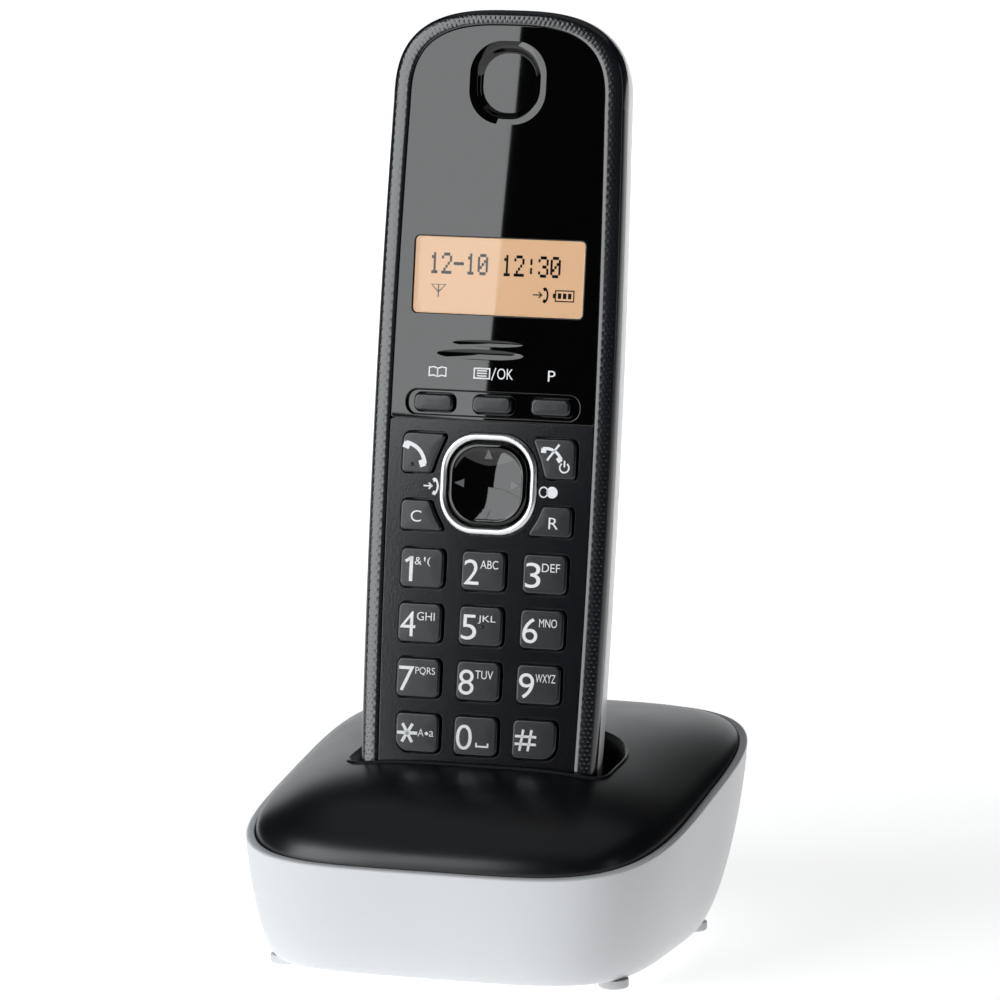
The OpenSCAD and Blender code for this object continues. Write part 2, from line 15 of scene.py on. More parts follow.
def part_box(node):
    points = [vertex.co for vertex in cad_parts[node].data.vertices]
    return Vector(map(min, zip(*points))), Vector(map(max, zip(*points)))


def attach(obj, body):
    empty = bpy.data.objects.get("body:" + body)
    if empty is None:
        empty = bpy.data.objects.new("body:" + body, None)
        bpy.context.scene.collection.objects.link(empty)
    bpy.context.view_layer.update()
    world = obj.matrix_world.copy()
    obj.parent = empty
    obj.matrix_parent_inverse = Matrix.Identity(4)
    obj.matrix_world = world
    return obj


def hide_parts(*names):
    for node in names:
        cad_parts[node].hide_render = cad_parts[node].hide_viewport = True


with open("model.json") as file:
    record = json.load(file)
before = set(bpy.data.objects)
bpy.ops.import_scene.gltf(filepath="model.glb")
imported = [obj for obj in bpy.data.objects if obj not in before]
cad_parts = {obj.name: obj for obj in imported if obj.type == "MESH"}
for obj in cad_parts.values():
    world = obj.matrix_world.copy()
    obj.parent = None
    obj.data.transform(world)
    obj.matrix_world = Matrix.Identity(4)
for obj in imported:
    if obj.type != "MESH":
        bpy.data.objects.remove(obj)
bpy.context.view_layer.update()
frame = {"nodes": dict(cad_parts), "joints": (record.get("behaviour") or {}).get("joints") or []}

MM = 0.001
PI = math.pi
JOINTS = {j["name"]: j for j in frame["joints"]}

# --- Driving dimensions, the same as in part.scad -------------------------------------------------
BASE_W, BASE_D = 88.9, 96.4
RIM_Z, RIM_SLOPE = 32.2, 0.18
FOOT_W, FOOT_D, FOOT_YC = 75.0, 72.0, -8.0
FEET_H, SHELL_WALL, FLOOR_T = 1.8, 1.5, 1.8
FLOOR_TOP = FEET_H + FLOOR_T
DOME_H, DOME_FALL = 8.5, 4.5
SIDE_EXP, FRONT_EXP, REAR_EXP, EDGE_SHARE = 0.45, 0.53, 0.52, 0.35
COVER_GAP, COVER_WALL, SKIRT_H = 0.15, 2.0, 5.0
HS_LEN, HS_W, HS_DEPTH = 159.3, 50.4, 27.0
HS_Y, HS_Z = -16.9, 29.05
HALF_MID = HS_W / 2
HALF_LOW, HALF_TOP = HALF_MID - 0.8, HALF_MID - 1.0
LOW_R, TOP_R, LOW_EXP, TOP_EXP, TOP_SHARE = 10.0, 19.0, 0.5, 0.7, 0.77
BEZEL_D, BEZEL_W, CASE_WALL = 3.0, 3.9, 1.9
BACK_ROUND, BACK_EXP, BACK_LOW_EXP = 13.0, 0.75, 1.3
PANEL_T, WALL_BACK, FLANGE_Y, KEY_BOTTOM = 1.4, 2.8, 2.9, 3.5
SEAM_Z = 77.7
BEZEL_EXP = 0.5
KEY_W, KEY_H, KEY_PROUD, KEY_ROUND, KEY_GAP = 9.1, 7.9, 1.0, 1.3, 0.3
ROW_TOP, ROW_PITCH, COL_PITCH, COL_TAPER = 48.2, 10.9, 12.8, 0.067
NAV_Z, NAV_D, NAV_BAND, NAV_ROUND = 65.4, 20.2, 1.5, 7.6
NAV_CAP = NAV_D - 2 * NAV_BAND - 0.9
NAV_DISH = 0.5
SOFT_Z, SOFT_W, SOFT_H, SOFT_PITCH, SOFT_PROUD = 81.1, 8.2, 3.4, 12.2, 0.6
SLOT_W, SLOT_H = 36.0, 4.9
WINDOW_W, WINDOW_H, WINDOW_Z = 35.3, 15.2, 106.4
LCD_Y, LCD_BACK = 1.6, 3.0
EAR_Z, EAR_W, EAR_H = 144.8, 15.6, 16.2
CUP_GAP, CUP_WALL, CUP_FLOOR = 0.8, 1.6, -0.35
CUP_SIDE_R, CUP_FRONT_R = 17.0, 3.0
COVER_LOW, COVER_HIGH, COVER_HALF, COVER_T, SLIDE_LOW = 17.5, 76.0, 18.8, 1.6, 8.5
TRAY_W, TRAY_LOW, TRAY_HIGH, TRAY_Y, TRAY_WALL, PAD_WALL = 23.4, 21.0, 72.0, 11.0, 1.5, 3.6
CONTACT_X, CONTACT_Y, CONTACT_R, CONTACT_W = 13.0, 10.0, 3.0, 2.4
BOSS_X, BOSS_YS = 27.0, (-25.0, 14.0)
LOCATOR_Y, LOCATOR_W, LOCATOR_H = 27.0, 15.0, 8.0
RINGER_Z = 118.0

lift_axis = JOINTS["handset_lift"]["axis"]
LEAN = math.atan2(lift_axis[1], lift_axis[2])
COS_LEAN, SIN_LEAN = math.cos(LEAN), math.sin(LEAN)


# --- Shapes as arrays of points -------------------------------------------------------------------
def mix(a, b, f):
    """The value a share f of the way from a to b."""
    return a + (b - a) * f


def power(t, e):
    """A power that keeps the sign, for superellipses."""
    return np.sign(t) * np.abs(t) ** e


def hs(p):
    """Handset points (x, y, z) as points of the shared frame."""
    p = np.asarray(p, float)
    x, y, z = p[..., 0], p[..., 1], p[..., 2]
    return np.stack([x, HS_Y + y * COS_LEAN + z * SIN_LEAN, HS_Z - y * SIN_LEAN + z * COS_LEAN], -1)


def at_depth(loop, y):
    """A loop of (x, z) points, placed at a depth y."""
    loop = np.asarray(loop, float)
    return np.stack([loop[:, 0], np.broadcast_to(y, len(loop)), loop[:, 1]], -1)


def level(loop, z):
    """A loop of (x, y) points, placed at a height z."""
    return np.column_stack([loop, np.broadcast_to(z, len(loop))])


def spaced(points, n):
    """Places along a closed line, as fractional indices, that divide its length into n equal steps."""
    closed = np.vstack([points, points[:1]])
    length = np.concatenate([[0], np.cumsum(np.linalg.norm(np.diff(closed, axis=0), axis=1))])
    return np.interp(np.arange(n) * length[-1] / n, length, np.arange(len(closed)))


def pick(points, index):
    """Points of a closed line at fractional indices."""
    closed = np.vstack([points, points[:1]])
    whole = np.arange(len(closed))
    return np.stack([np.interp(index, whole, closed[:, k]) for k in range(closed.shape[1])], -1)


def even(points, n):
    """A closed line redrawn with n points at equal steps."""
    points = np.asarray(points, float)
    return pick(points, spaced(points, n))


def round_poly(corners, radii, steps=8):
    """A counter-clockwise polygon with its corners rounded by arcs."""
    c = np.asarray(corners, float)
    radii = np.broadcast_to(radii, len(c))
    out = []
    for k in range(len(c)):
        back, ahead = c[k - 1] - c[k], c[(k + 1) % len(c)] - c[k]
        back, ahead = back / np.linalg.norm(back), ahead / np.linalg.norm(ahead)
        half = math.acos(np.clip(back @ ahead, -1, 1)) / 2
        reach = radii[k] / math.tan(half)
        centre = c[k] + (back + ahead) / np.linalg.norm(back + ahead) * radii[k] / math.sin(half)
        p, q = c[k] + back * reach - centre, c[k] + ahead * reach - centre
        a0 = math.atan2(p[1], p[0])
        turn = (math.atan2(q[1], q[0]) - a0 + PI) % (2 * PI) - PI
        out += [centre + radii[k] * np.array([math.cos(a0 + turn * s), math.sin(a0 + turn * s)])
                for s in np.linspace(0, 1, steps)]
    return np.array(out)


def box_loop(cx, cz, w, h, r, steps=8):
    """A rounded rectangle round a centre."""
    corners = [(cx + sx * w / 2, cz + sz * h / 2) for sx, sz in ((-1, -1), (1, -1), (1, 1), (-1, 1))]
    return round_poly(corners, r, steps)


def ellipse(cx, cz, rx, rz, n=48):
    a = np.arange(n) * 2 * PI / n
    return np.stack([cx + rx * np.cos(a), cz + rz * np.sin(a)], -1)


def shrink(loop, d):
    """The loop moved inwards by d; outwards for a negative d. Counter-clockwise loops only."""
    loop = np.asarray(loop, float)
    ahead = np.roll(loop, -1, 0) - loop
    ahead /= np.maximum(np.linalg.norm(ahead, axis=1, keepdims=True), 1e-9)
    behind = np.roll(ahead, 1, 0)
    normal = np.stack([-ahead[:, 1] - behind[:, 1], ahead[:, 0] + behind[:, 0]], -1)
    scale = np.maximum((normal ** 2).sum(1, keepdims=True) / 2, 0.5)
    return loop + normal / scale * d


def scaled(loop, f):
    centre = (loop.max(0) + loop.min(0)) / 2
    return centre + (loop - centre) * f


# --- Meshes as (points, faces) pairs --------------------------------------------------------------
def tube(rings, closed=False, first_cap=True, last_cap=True):
    """A skin through rings of equal counts. Closed rings of rings make a ring-shaped solid."""
    rings = np.asarray(rings, float)
    m, n = rings.shape[:2]
    i = np.arange(n)
    j = (i + 1) % n
    faces = []
    for k in range(m if closed else m - 1):
        a, b = k * n, ((k + 1) % m) * n
        faces += np.stack([a + i, b + i, b + j, a + j], -1).tolist()
    if not closed:
        if first_cap:
            faces.append(list(range(n)))
        if last_cap:
            faces.append(list(range(m * n - 1, (m - 1) * n - 1, -1)))
    return rings.reshape(-1, 3), faces


def filled(loops):
    """Triangles over an area between loops of 3-D points, the first one outside the others."""
    triangles = geometry.tessellate_polygon([[Vector(p) for p in loop] for loop in loops])
    return np.vstack(loops), [list(t) for t in triangles]


def merge(*parts):
    points, faces, start = [], [], 0
    for p, f in parts:
        points.append(np.asarray(p, float))
        faces += [[v + start for v in face] for face in f]
        start += len(p)
    return np.vstack(points), faces


def edge_rings(loop, front, back, radius, sign=1, steps=5):
    """Rings of a plate's rim from its back to its rounded front edge, and a last one just inside it."""
    rings = [at_depth(loop, back)]
    for k in range(steps + 1):
        a = PI / 2 * k / steps
        inset = sign * radius * (1 - math.cos(a))
        rings.append(at_depth(shrink(loop, inset), front + radius * (1 - math.sin(a))))
    rings.append(at_depth(shrink(loop, sign * (radius + 0.04)), front))
    return rings


def plate(outer, holes=(), front=0.0, back=1.0, radius=0.2, dishes=()):
    """A plate with rounded front edges. A dish is a list of rings that go down from the front face."""
    parts, tops, bottoms = [], [], []
    for k, loop in enumerate([outer, *holes]):
        rings = edge_rings(loop, front, back, radius, 1 if k == 0 else -1)
        parts.append(tube(rings, first_cap=False, last_cap=False))
        tops.append(rings[-1])
        bottoms.append(rings[0])
    for rings in dishes:
        parts.append(tube(rings, first_cap=False, last_cap=True))
        tops.append(rings[0])
    return merge(*parts, filled(tops), filled(bottoms))


def prism(loop, front, back):
    return tube([at_depth(loop, front), at_depth(loop, back)])


def ribbon(line, width, closed=False):
    """Outline of a line drawn with a flat pen, as short quads that overlap at the bends."""
    line = np.asarray(line, float)
    ahead = np.roll(line, -1, 0) - line
    if not closed:
        ahead[-1] = ahead[-2]
    ahead /= np.linalg.norm(ahead, axis=1, keepdims=True)
    behind = np.roll(ahead, 1, 0)
    if not closed:
        behind[0] = ahead[0]
    side = np.stack([-(ahead + behind)[:, 1], (ahead + behind)[:, 0]], -1)
    side = side / np.maximum((side ** 2).sum(1, keepdims=True) / 2, 0.6) * width / 2
    return line + side, line - side


def stroke(line, width, front, back, closed=False):
    """A thin raised line through (x, z) points."""
    a, b = ribbon(line, width, closed)
    cross = np.stack([at_depth(a, front), at_depth(b, front), at_depth(b, back), at_depth(a, back)])
    return tube(cross.transpose(1, 0, 2), closed=closed)


def pen(front, back, width):
    """A function that draws raised lines between two depths."""
    def line(points, w=width, closed=False):
        return stroke(points, w, front, back, closed)

    return line


def lathe(profile, centre, steps=48):
    """A solid turned about the vertical axis from a closed (r, z) profile."""
    a = np.arange(steps) * 2 * PI / steps
    rings = [np.stack([centre[0] + r * np.cos(a), centre[1] + r * np.sin(a), np.full(steps, z)], -1)
             for r, z in profile]
    return tube(rings, closed=True)


# --- Objects --------------------------------------------------------------------------------------
WELD = 1e-7


def plain_object(name, parts, place, weld):
    """An object from mesh parts, its faces turned outwards; place puts handset points in the shared frame."""
    points, faces = merge(*parts)
    if place:
        points = hs(points)
    mesh = bpy.data.meshes.new(name)
    mesh.from_pydata((points * MM).tolist(), [], faces)
    bm = bmesh.new()
    bm.from_mesh(mesh)
    if weld:
        bmesh.ops.remove_doubles(bm, verts=bm.verts, dist=WELD)
    bmesh.ops.recalc_face_normals(bm, faces=bm.faces)
    bm.to_mesh(mesh)
    bm.free()
    obj = bpy.data.objects.new(name, mesh)
    bpy.context.scene.collection.objects.link(obj)
    return obj


def make(name, parts, material, body, nodes=(), place=True, sharp=40):
    """A piece from mesh parts, on its body, with its finish, standing for its CAD nodes."""
    obj = plain_object(name, parts, place, weld=False)
    smooth(obj, sharp)
    return dress(obj, material, body, nodes)


def make_print(name, parts, body):
    """A piece of printed characters or symbols."""
    return make(name, parts, "legend_white", body)


def solid(name, parts, place=True):
    """A helper mesh for cutting, with no material."""
    return plain_object(name, parts, place, weld=True)


def promote(obj, name, sharp, material, body, nodes):
    """Turns a carved helper into a piece."""
    smooth(obj, sharp)
    obj.name = obj.data.name = name
    return dress(obj, material, body, nodes)


def dress(obj, material, body, nodes):
    """Gives a piece its finish, body and the CAD nodes that it replaces."""
    obj.data.materials.clear()
    obj.data.materials.append(MATERIALS[material])
    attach(obj, body)
    if nodes:
        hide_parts(*nodes)
    return obj


def smooth(obj, sharp=40):
    """Smooth shading, with edges above the angle sharp left sharp."""
    obj.data.shade_smooth()
    obj.data.set_sharp_from_angle(angle=math.radians(sharp))


def node_box(node):
    """Lowest and highest corner of a CAD node, in millimetres."""
    return [np.array(corner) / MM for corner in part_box(node)]


def carve(obj, *steps):
    """Applies ("DIFFERENCE" | "UNION" | "INTERSECT", helper) steps and removes the helpers."""
    for operation, helper in steps:
        m = obj.modifiers.new("carve", "BOOLEAN")
        m.operation, m.object, m.solver = operation, helper, "EXACT"
        bpy.context.view_layer.update()
        done = bpy.data.meshes.new_from_object(obj.evaluated_get(bpy.context.evaluated_depsgraph_get()))
        obj.modifiers.clear()
        obj.data = done
        bpy.data.objects.remove(helper)
    return obj


def brick(x0, x1, y0, y1, z0, z1):
    ring = [(x0, y0), (x1, y0), (x1, y1), (x0, y1)]
    return tube([[(x, y, z) for x, y in ring] for z in (z0, z1)])


def text_part(body, box, front, back, bold=-0.004):
    """Lettering fitted into the (x0, z0, x1, z1) box, as a thin raised mesh."""
    curve = bpy.data.curves.new("text", "FONT")
    curve.body = body
    curve.extrude = 0.01
    curve.offset = bold
    curve.resolution_u = 6
    obj = bpy.data.objects.new("text", curve)
    bpy.context.scene.collection.objects.link(obj)
    bpy.context.view_layer.update()
    mesh = bpy.data.meshes.new_from_object(obj.evaluated_get(bpy.context.evaluated_depsgraph_get()))
    co = np.array([v.co for v in mesh.vertices], float)
    faces = [list(p.vertices) for p in mesh.polygons]
    bpy.data.objects.remove(obj)
    low, high = co.min(0), co.max(0)
    size = np.maximum(high - low, 1e-6)
    x0, z0, x1, z1 = box
    x = x0 + (co[:, 0] - low[0]) / size[0] * (x1 - x0)
    z = z0 + (co[:, 1] - low[1]) / size[1] * (z1 - z0)
    y = np.where(co[:, 2] > 0, front, back)
    return np.stack([x, y, z], -1), faces


# --- Materials ------------------------------------------------------------------------------------
MATERIALS = {}


def finish(name, colour, rough, *, metallic=0.0, specular=0.5, vary=0.08, rough_vary=0.06, scale=60.0,
           grain=0.0, grain_scale=900.0, coat=0.0, coat_rough=0.1, emission=None, glow=0.0,
           transmission=0.0, ior=1.5, wear=0.0):
    """A procedural finish: uneven colour and gloss, and a fine moulded grain where grain is above 0."""
    material = bpy.data.materials.new(name)
    material.use_nodes = True
    tree = material.node_tree
    shader = tree.nodes["Principled BSDF"]
    where = tree.nodes.new("ShaderNodeTexCoord").outputs["Object"]

    def noise(size, detail=4.0):
        node = tree.nodes.new("ShaderNodeTexNoise")
        node.inputs["Scale"].default_value = size
        node.inputs["Detail"].default_value = detail
        tree.links.new(where, node.inputs["Vector"])
        return node.outputs["Fac"]

    def spread(source, low, high):
        node = tree.nodes.new("ShaderNodeMapRange")
        node.inputs["From Min"].default_value, node.inputs["From Max"].default_value = 0.3, 0.7
        node.inputs["To Min"].default_value, node.inputs["To Max"].default_value = low, high
        tree.links.new(source, node.inputs["Value"])
        return node.outputs["Result"]

    def blend(factor, first, second):
        node = tree.nodes.new("ShaderNodeMix")
        node.data_type = "RGBA"
        node.inputs["A"].default_value = (*first, 1)
        node.inputs["B"].default_value = (*second, 1)
        tree.links.new(factor, node.inputs["Factor"])
        return node

    tone = blend(noise(scale), [c * (1 - vary) for c in colour], [min(1, c * (1 + vary)) for c in colour])
    colour_out = tone.outputs["Result"]
    if wear:
        pointed = tree.nodes.new("ShaderNodeNewGeometry").outputs["Pointiness"]
        reach = tree.nodes.new("ShaderNodeMapRange")
        reach.inputs["From Min"].default_value, reach.inputs["From Max"].default_value = 0.52, 0.62
        reach.inputs["To Max"].default_value = wear
        tree.links.new(pointed, reach.inputs["Value"])
        edge = blend(reach.outputs["Result"], colour, [min(1, c * 1.6 + 0.02) for c in colour])
        tree.links.new(colour_out, edge.inputs["A"])
        colour_out = edge.outputs["Result"]
    tree.links.new(colour_out, shader.inputs["Base Color"])
    tree.links.new(spread(noise(scale * 1.7), rough * (1 - rough_vary), rough * (1 + rough_vary)),
                   shader.inputs["Roughness"])
    for socket, value in (("Metallic", metallic), ("Specular IOR Level", specular), ("IOR", ior),
                          ("Coat Weight", coat), ("Coat Roughness", coat_rough),
                          ("Transmission Weight", transmission)):
        shader.inputs[socket].default_value = value
    if emission:
        glowing = blend(noise(scale), [c * 0.97 for c in emission], emission)
        tree.links.new(glowing.outputs["Result"], shader.inputs["Emission Color"])
        shader.inputs["Emission Strength"].default_value = glow
    if grain:
        bump = tree.nodes.new("ShaderNodeBump")
        bump.inputs["Strength"].default_value = 0.5
        bump.inputs["Distance"].default_value = grain * MM
        tree.links.new(noise(grain_scale, 2.0), bump.inputs["Height"])
        tree.links.new(bump.outputs["Normal"], shader.inputs["Normal"])
    MATERIALS[name] = material
    return material


finish("base_white", (0.66, 0.67, 0.69), 0.34, vary=0.015, grain=0.006, grain_scale=2600, coat=0.15,
       coat_rough=0.2)
finish("case_white", (0.7, 0.71, 0.735), 0.3, vary=0.015, grain=0.005, grain_scale=2600, coat=0.15,
       coat_rough=0.2)
finish("base_black", (0.005, 0.0055, 0.007), 0.3, vary=0.15, grain=0.012, grain_scale=2400, rough_vary=0.05)
finish("foot_rubber", (0.62, 0.63, 0.64), 0.55, vary=0.06, grain=0.02, grain_scale=1500)
finish("screw_steel", (0.6, 0.6, 0.62), 0.3, metallic=1.0, vary=0.1, rough_vary=0.3, grain=0.01)
finish("board_green", (0.03, 0.15, 0.07), 0.35, vary=0.2, scale=400, coat=0.4)
finish("shield_tin", (0.66, 0.66, 0.66), 0.35, metallic=1.0, vary=0.08, rough_vary=0.25, grain=0.01)
finish("socket_black", (0.025, 0.025, 0.028), 0.4, vary=0.15, grain=0.015)
finish("contact_metal", (0.8, 0.78, 0.72), 0.22, metallic=1.0, vary=0.06, rough_vary=0.35, wear=0.2)
finish("bezel_black", (0.006, 0.0068, 0.009), 0.17, vary=0.12, specular=0.75, grain=0.004, grain_scale=3000)
finish("panel_gloss", (0.0008, 0.0008, 0.001), 0.012, vary=0.1, rough_vary=0.2, scale=25)
finish("window_clear", (0.97, 0.97, 0.97), 0.01, vary=0.01, transmission=1.0, ior=1.28, scale=20)
finish("lcd_amber", (0.2, 0.12, 0.07), 0.5, vary=0.02, emission=(0.68, 0.43, 0.25), glow=0.96, scale=150)
finish("lcd_ink", (0.002, 0.002, 0.003), 0.6, vary=0.1, specular=0.2)
finish("backlight_white", (0.85, 0.84, 0.8), 0.4, vary=0.03)
finish("keypad_dark", (0.0022, 0.0026, 0.0045), 0.12, vary=0.1, grain=0.012, grain_scale=2600)
finish("mat_rubber", (0.3, 0.3, 0.31), 0.6, vary=0.08, grain=0.02)
finish("ring_silver", (0.6, 0.6, 0.61), 0.3, metallic=1.0, vary=0.04, rough_vary=0.2, grain=0.003,
       grain_scale=3000)
finish("nav_gloss", (0.001, 0.001, 0.0012), 0.02, vary=0.1, rough_vary=0.2, scale=30)
finish("key_dark", (0.0045, 0.0056, 0.0085), 0.2, vary=0.08, grain=0.008, grain_scale=2800, specular=0.55)
finish("mesh_black", (0.008, 0.008, 0.009), 0.3, vary=0.15, grain=0.01)
finish("speaker_grey", (0.25, 0.25, 0.26), 0.5, vary=0.12, grain=0.03)
finish("cell_jacket", (0.05, 0.24, 0.15), 0.3, vary=0.08, coat=0.5)
finish("button_black", (0.025, 0.026, 0.029), 0.4, vary=0.12, grain=0.01)
finish("legend_white", (0.78, 0.79, 0.81), 0.5, vary=0.03, grain=0.004)
finish("wedge_grey", (0.09, 0.092, 0.098), 0.3, vary=0.1)
finish("floor_pale", (0.8, 0.8, 0.8), 0.7, vary=0.01, scale=3, emission=(1, 1, 1), glow=1.0)


def painted_floor_shade_near(material, near, far, low, high):
    """Glow that rises from low to high between two distances from the middle of the floor: painted shade
    round the base, which also offsets the lamps' extra light on the floor there.
    """
    tree = material.node_tree
    where = tree.nodes.new("ShaderNodeTexCoord").outputs["Object"]
    away = tree.nodes.new("ShaderNodeVectorMath")
    away.operation = "LENGTH"
    tree.links.new(where, away.inputs[0])
    reach = tree.nodes.new("ShaderNodeMapRange")
    reach.interpolation_type = "SMOOTHSTEP"
    for socket, value in (("From Min", near), ("From Max", far), ("To Min", low), ("To Max", high)):
        reach.inputs[socket].default_value = value
    tree.links.new(away.outputs["Value"], reach.inputs["Value"])
    tree.links.new(reach.outputs["Result"], tree.nodes["Principled BSDF"].inputs["Emission Strength"])


# Painted shade: the floor glows less round the base, a painted shadow that also offsets the lamps' extra
# light there.
painted_floor_shade_near(MATERIALS["floor_pale"], 0.1, 0.5, 0.74, 1.05)

NODE_FINISH = {
    "base_screws": "screw_steel", "base_circuit_board": "board_green", "base_rf_shield": "shield_tin",
    "line_jack": "socket_black", "power_jack": "socket_black", "contact_holder": "socket_black",
    "charge_contact_left": "contact_metal", "charge_contact_right": "contact_metal",
    "locator_switch": "speaker_grey", "lcd_backlight": "backlight_white", "keypad_mat": "mat_rubber",
    "nav_rocker": "mat_rubber", "earpiece_speaker": "speaker_grey", "ringer_speaker": "speaker_grey",
    "microphone": "shield_tin", "handset_circuit_board": "board_green", "handset_rf_shield": "shield_tin",
    "battery_cell_left": "cell_jacket", "battery_cell_right": "cell_jacket",
    "battery_contacts": "contact_metal", "charge_terminals": "contact_metal", "handset_screws": "screw_steel",
}
for node, finish_name in NODE_FINISH.items():
    cad = frame["nodes"][node]
    for material_slot in cad.material_slots:
        material_slot.material = MATERIALS[finish_name]


# --- Base -----------------------------------------------------------------------------------------
def rim_at(y):
    """Height of the white shell's sloping rim."""
    return RIM_Z + RIM_SLOPE * y


def base_xy(a, w, d, yc, inset):
    """The base's outline at the angles a: a superellipse, flatter at the front."""
    e = np.where(np.sin(a) < 0, FRONT_EXP, REAR_EXP)
    return np.stack([(w / 2 - inset) * power(np.cos(a), SIDE_EXP),
                     (d / 2 - inset) * power(np.sin(a), e) + yc], -1)


# Angles whose points divide the base's outline into equal steps
DENSE_N, BASE_STEPS = 7200, 360
DENSE = np.arange(DENSE_N) * 2 * PI / DENSE_N
BASE_A = np.interp(spaced(base_xy(DENSE, BASE_W, BASE_D, 0, 0), BASE_STEPS),
                   np.arange(DENSE_N + 1), np.append(DENSE, 2 * PI))


def wall_share(t):
    """How far the wall has drawn in, from the rim (t = 0) to the underside (t = 1)."""
    return mix(t ** 1.5, 1 - math.sqrt(max(0.0, 1 - t ** 6)), EDGE_SHARE)


def shell_ring(t, inset, low_z, lift=0.0):
    """Ring of the shell's wall between its rim (t = 0) and the height low_z (t = 1)."""
    p, q = base_xy(BASE_A, BASE_W, BASE_D, 0, inset), base_xy(BASE_A, FOOT_W, FOOT_D, FOOT_YC, inset)
    xy = mix(p, q, wall_share(t))
    return np.column_stack([xy, mix(rim_at(p[:, 1]) + lift, low_z, t)])


def dome_drop(rho, y):
    """Height of the dome above the rim's plane."""
    return (DOME_H - DOME_FALL * y / (BASE_D / 2)) * np.maximum(0, 1 - rho ** 3) ** 0.55


def rho_at(x, y, inset):
    """How far out a point lies: 0 at the middle of the base, 1 on its outline."""
    low, high = np.zeros(np.shape(x)), np.full(np.shape(x), 1.5)
    e = np.where(y < 0, FRONT_EXP, REAR_EXP)
    for _ in range(40):
        rho = (low + high) / 2
        outside = (np.abs(x) / ((BASE_W / 2 - inset) * rho)) ** (2 / SIDE_EXP) \
            + (np.abs(y) / ((BASE_D / 2 - inset) * rho)) ** (2 / e) > 1
        low, high = np.where(outside, rho, low), np.where(outside, high, rho)
    return rho


def dome_at(x, y, inset=SHELL_WALL + COVER_GAP):
    """Height of the black cover's top."""
    return rim_at(y) + dome_drop(np.minimum(rho_at(x, y, inset), 1), y)


def cup_outline(grow, n=240):
    """Cross-section of the cradle in the handset's x and y."""
    half, front, back = HALF_MID + CUP_GAP + grow, -CUP_GAP - grow, HS_DEPTH + CUP_GAP + grow
    corners = [(-half, front), (half, front), (half, back), (-half, back)]
    radii = [CUP_FRONT_R + grow, CUP_FRONT_R + grow, CUP_SIDE_R + grow, CUP_SIDE_R + grow]
    return even(round_poly(corners, radii, 12), n)


def on_dome(section):
    """Where the cradle's section meets the dome, as points of the handset frame."""
    z = np.full(len(section), 10.0)
    for _ in range(30):
        p = hs(level(section, z))
        z += (dome_at(p[:, 0], p[:, 1]) - p[:, 2]) / COS_LEAN
    return z


# The bead round the cradle's mouth: height, width and steps across it
RIM_BEAD, BEAD_W, BEAD_STEPS = 0.4, 1.6, 10
# Rounding of the shell's rim, the screws' counterbores, the bosses above them
RIM_OUT_R, RIM_IN_R = 0.45, 0.3
BORE_R, BORE_H = 2.6, 2.8
BOSS_R, BOSS_H, BOSS_HOLE_R = 4, 4, 1.4
# Room round a socket, and its collar
SOCKET_GAP, COLLAR_T, COLLAR_Y = 0.2, 1.0, 30
FOOT_R, FOOT_EDGE = 3.0, 0.6


def build_base():
    build_shell()
    build_feet()
    build_cover()
    build_locator_button()


def build_shell():
    # Outer wall, rounded rim, inner wall
    outer_shares = np.concatenate([1 - np.linspace(0, 1, 40)[:-1] ** 1.6, [0.012]])
    rings = [shell_ring(t, 0, FEET_H) for t in outer_shares]
    for a in PI / 2 * np.arange(1, 7) / 6:
        rings.append(shell_ring(0, RIM_OUT_R * (1 - math.cos(a)), FEET_H, -RIM_OUT_R * (1 - math.sin(a))))
    for a in PI / 2 * np.arange(5) / 4:
        rings.append(shell_ring(0, SHELL_WALL - RIM_IN_R * (1 - math.sin(a)), FEET_H,
                                -RIM_IN_R * (1 - math.cos(a))))
    inner_shares = (0.05, 0.15, 0.25, 0.4, 0.55, 0.7, 0.8, 0.9, 0.96, 1)
    rings += [shell_ring(t, SHELL_WALL, FLOOR_TOP) for t in inner_shares]
    shell = solid("shell_blank", [tube(rings)], place=False)

    sockets = [node_box(node) for node in ("line_jack", "power_jack")]
    windows = [brick(low[0] - SOCKET_GAP, high[0] + SOCKET_GAP, 25, 60,
                     low[2] - SOCKET_GAP, high[2] + SOCKET_GAP) for low, high in sockets]
    boss_places = [(sx * BOSS_X, y) for sx in (-1, 1) for y in BOSS_YS]
    bore_top = FEET_H + BORE_H
    bore = [(0.001, -1), (BORE_R, -1), (BORE_R, bore_top), (0.001, bore_top)]
    carve(shell, ("DIFFERENCE", solid("windows", windows, place=False)),
          ("DIFFERENCE", solid("counterbores", [lathe(bore, place) for place in boss_places], place=False)))
    promote(shell, "base_shell_body", 35, "base_white", "base", ["base_shell"])

    # Collars that close the gap round the sockets, and bosses inside
    inner = []
    for low, high in sockets:
        outer_loop, inner_loop = (
            box_loop((low[0] + high[0]) / 2, (low[2] + high[2]) / 2, high[0] - low[0] + 2 * g,
                     high[2] - low[2] + 2 * g, r)
            for g, r in ((SOCKET_GAP + COLLAR_T, 0.8), (SOCKET_GAP, 0.3)))
        back = high[1] + 0.4
        inner.append(tube([at_depth(outer_loop, COLLAR_Y), at_depth(inner_loop, COLLAR_Y),
                           at_depth(inner_loop, back), at_depth(outer_loop, back)], closed=True))
    boss_top, boss_low = FEET_H + BOSS_H, FEET_H + 0.1
    boss = [(BOSS_HOLE_R, bore_top), (BOSS_HOLE_R, boss_top), (BOSS_R, boss_top), (BOSS_R, boss_low),
            (BORE_R + 0.05, boss_low), (BORE_R + 0.05, bore_top)]
    inner += [lathe(boss, place) for place in boss_places]
    make("base_shell_bosses", inner, "base_white", "base", place=False)


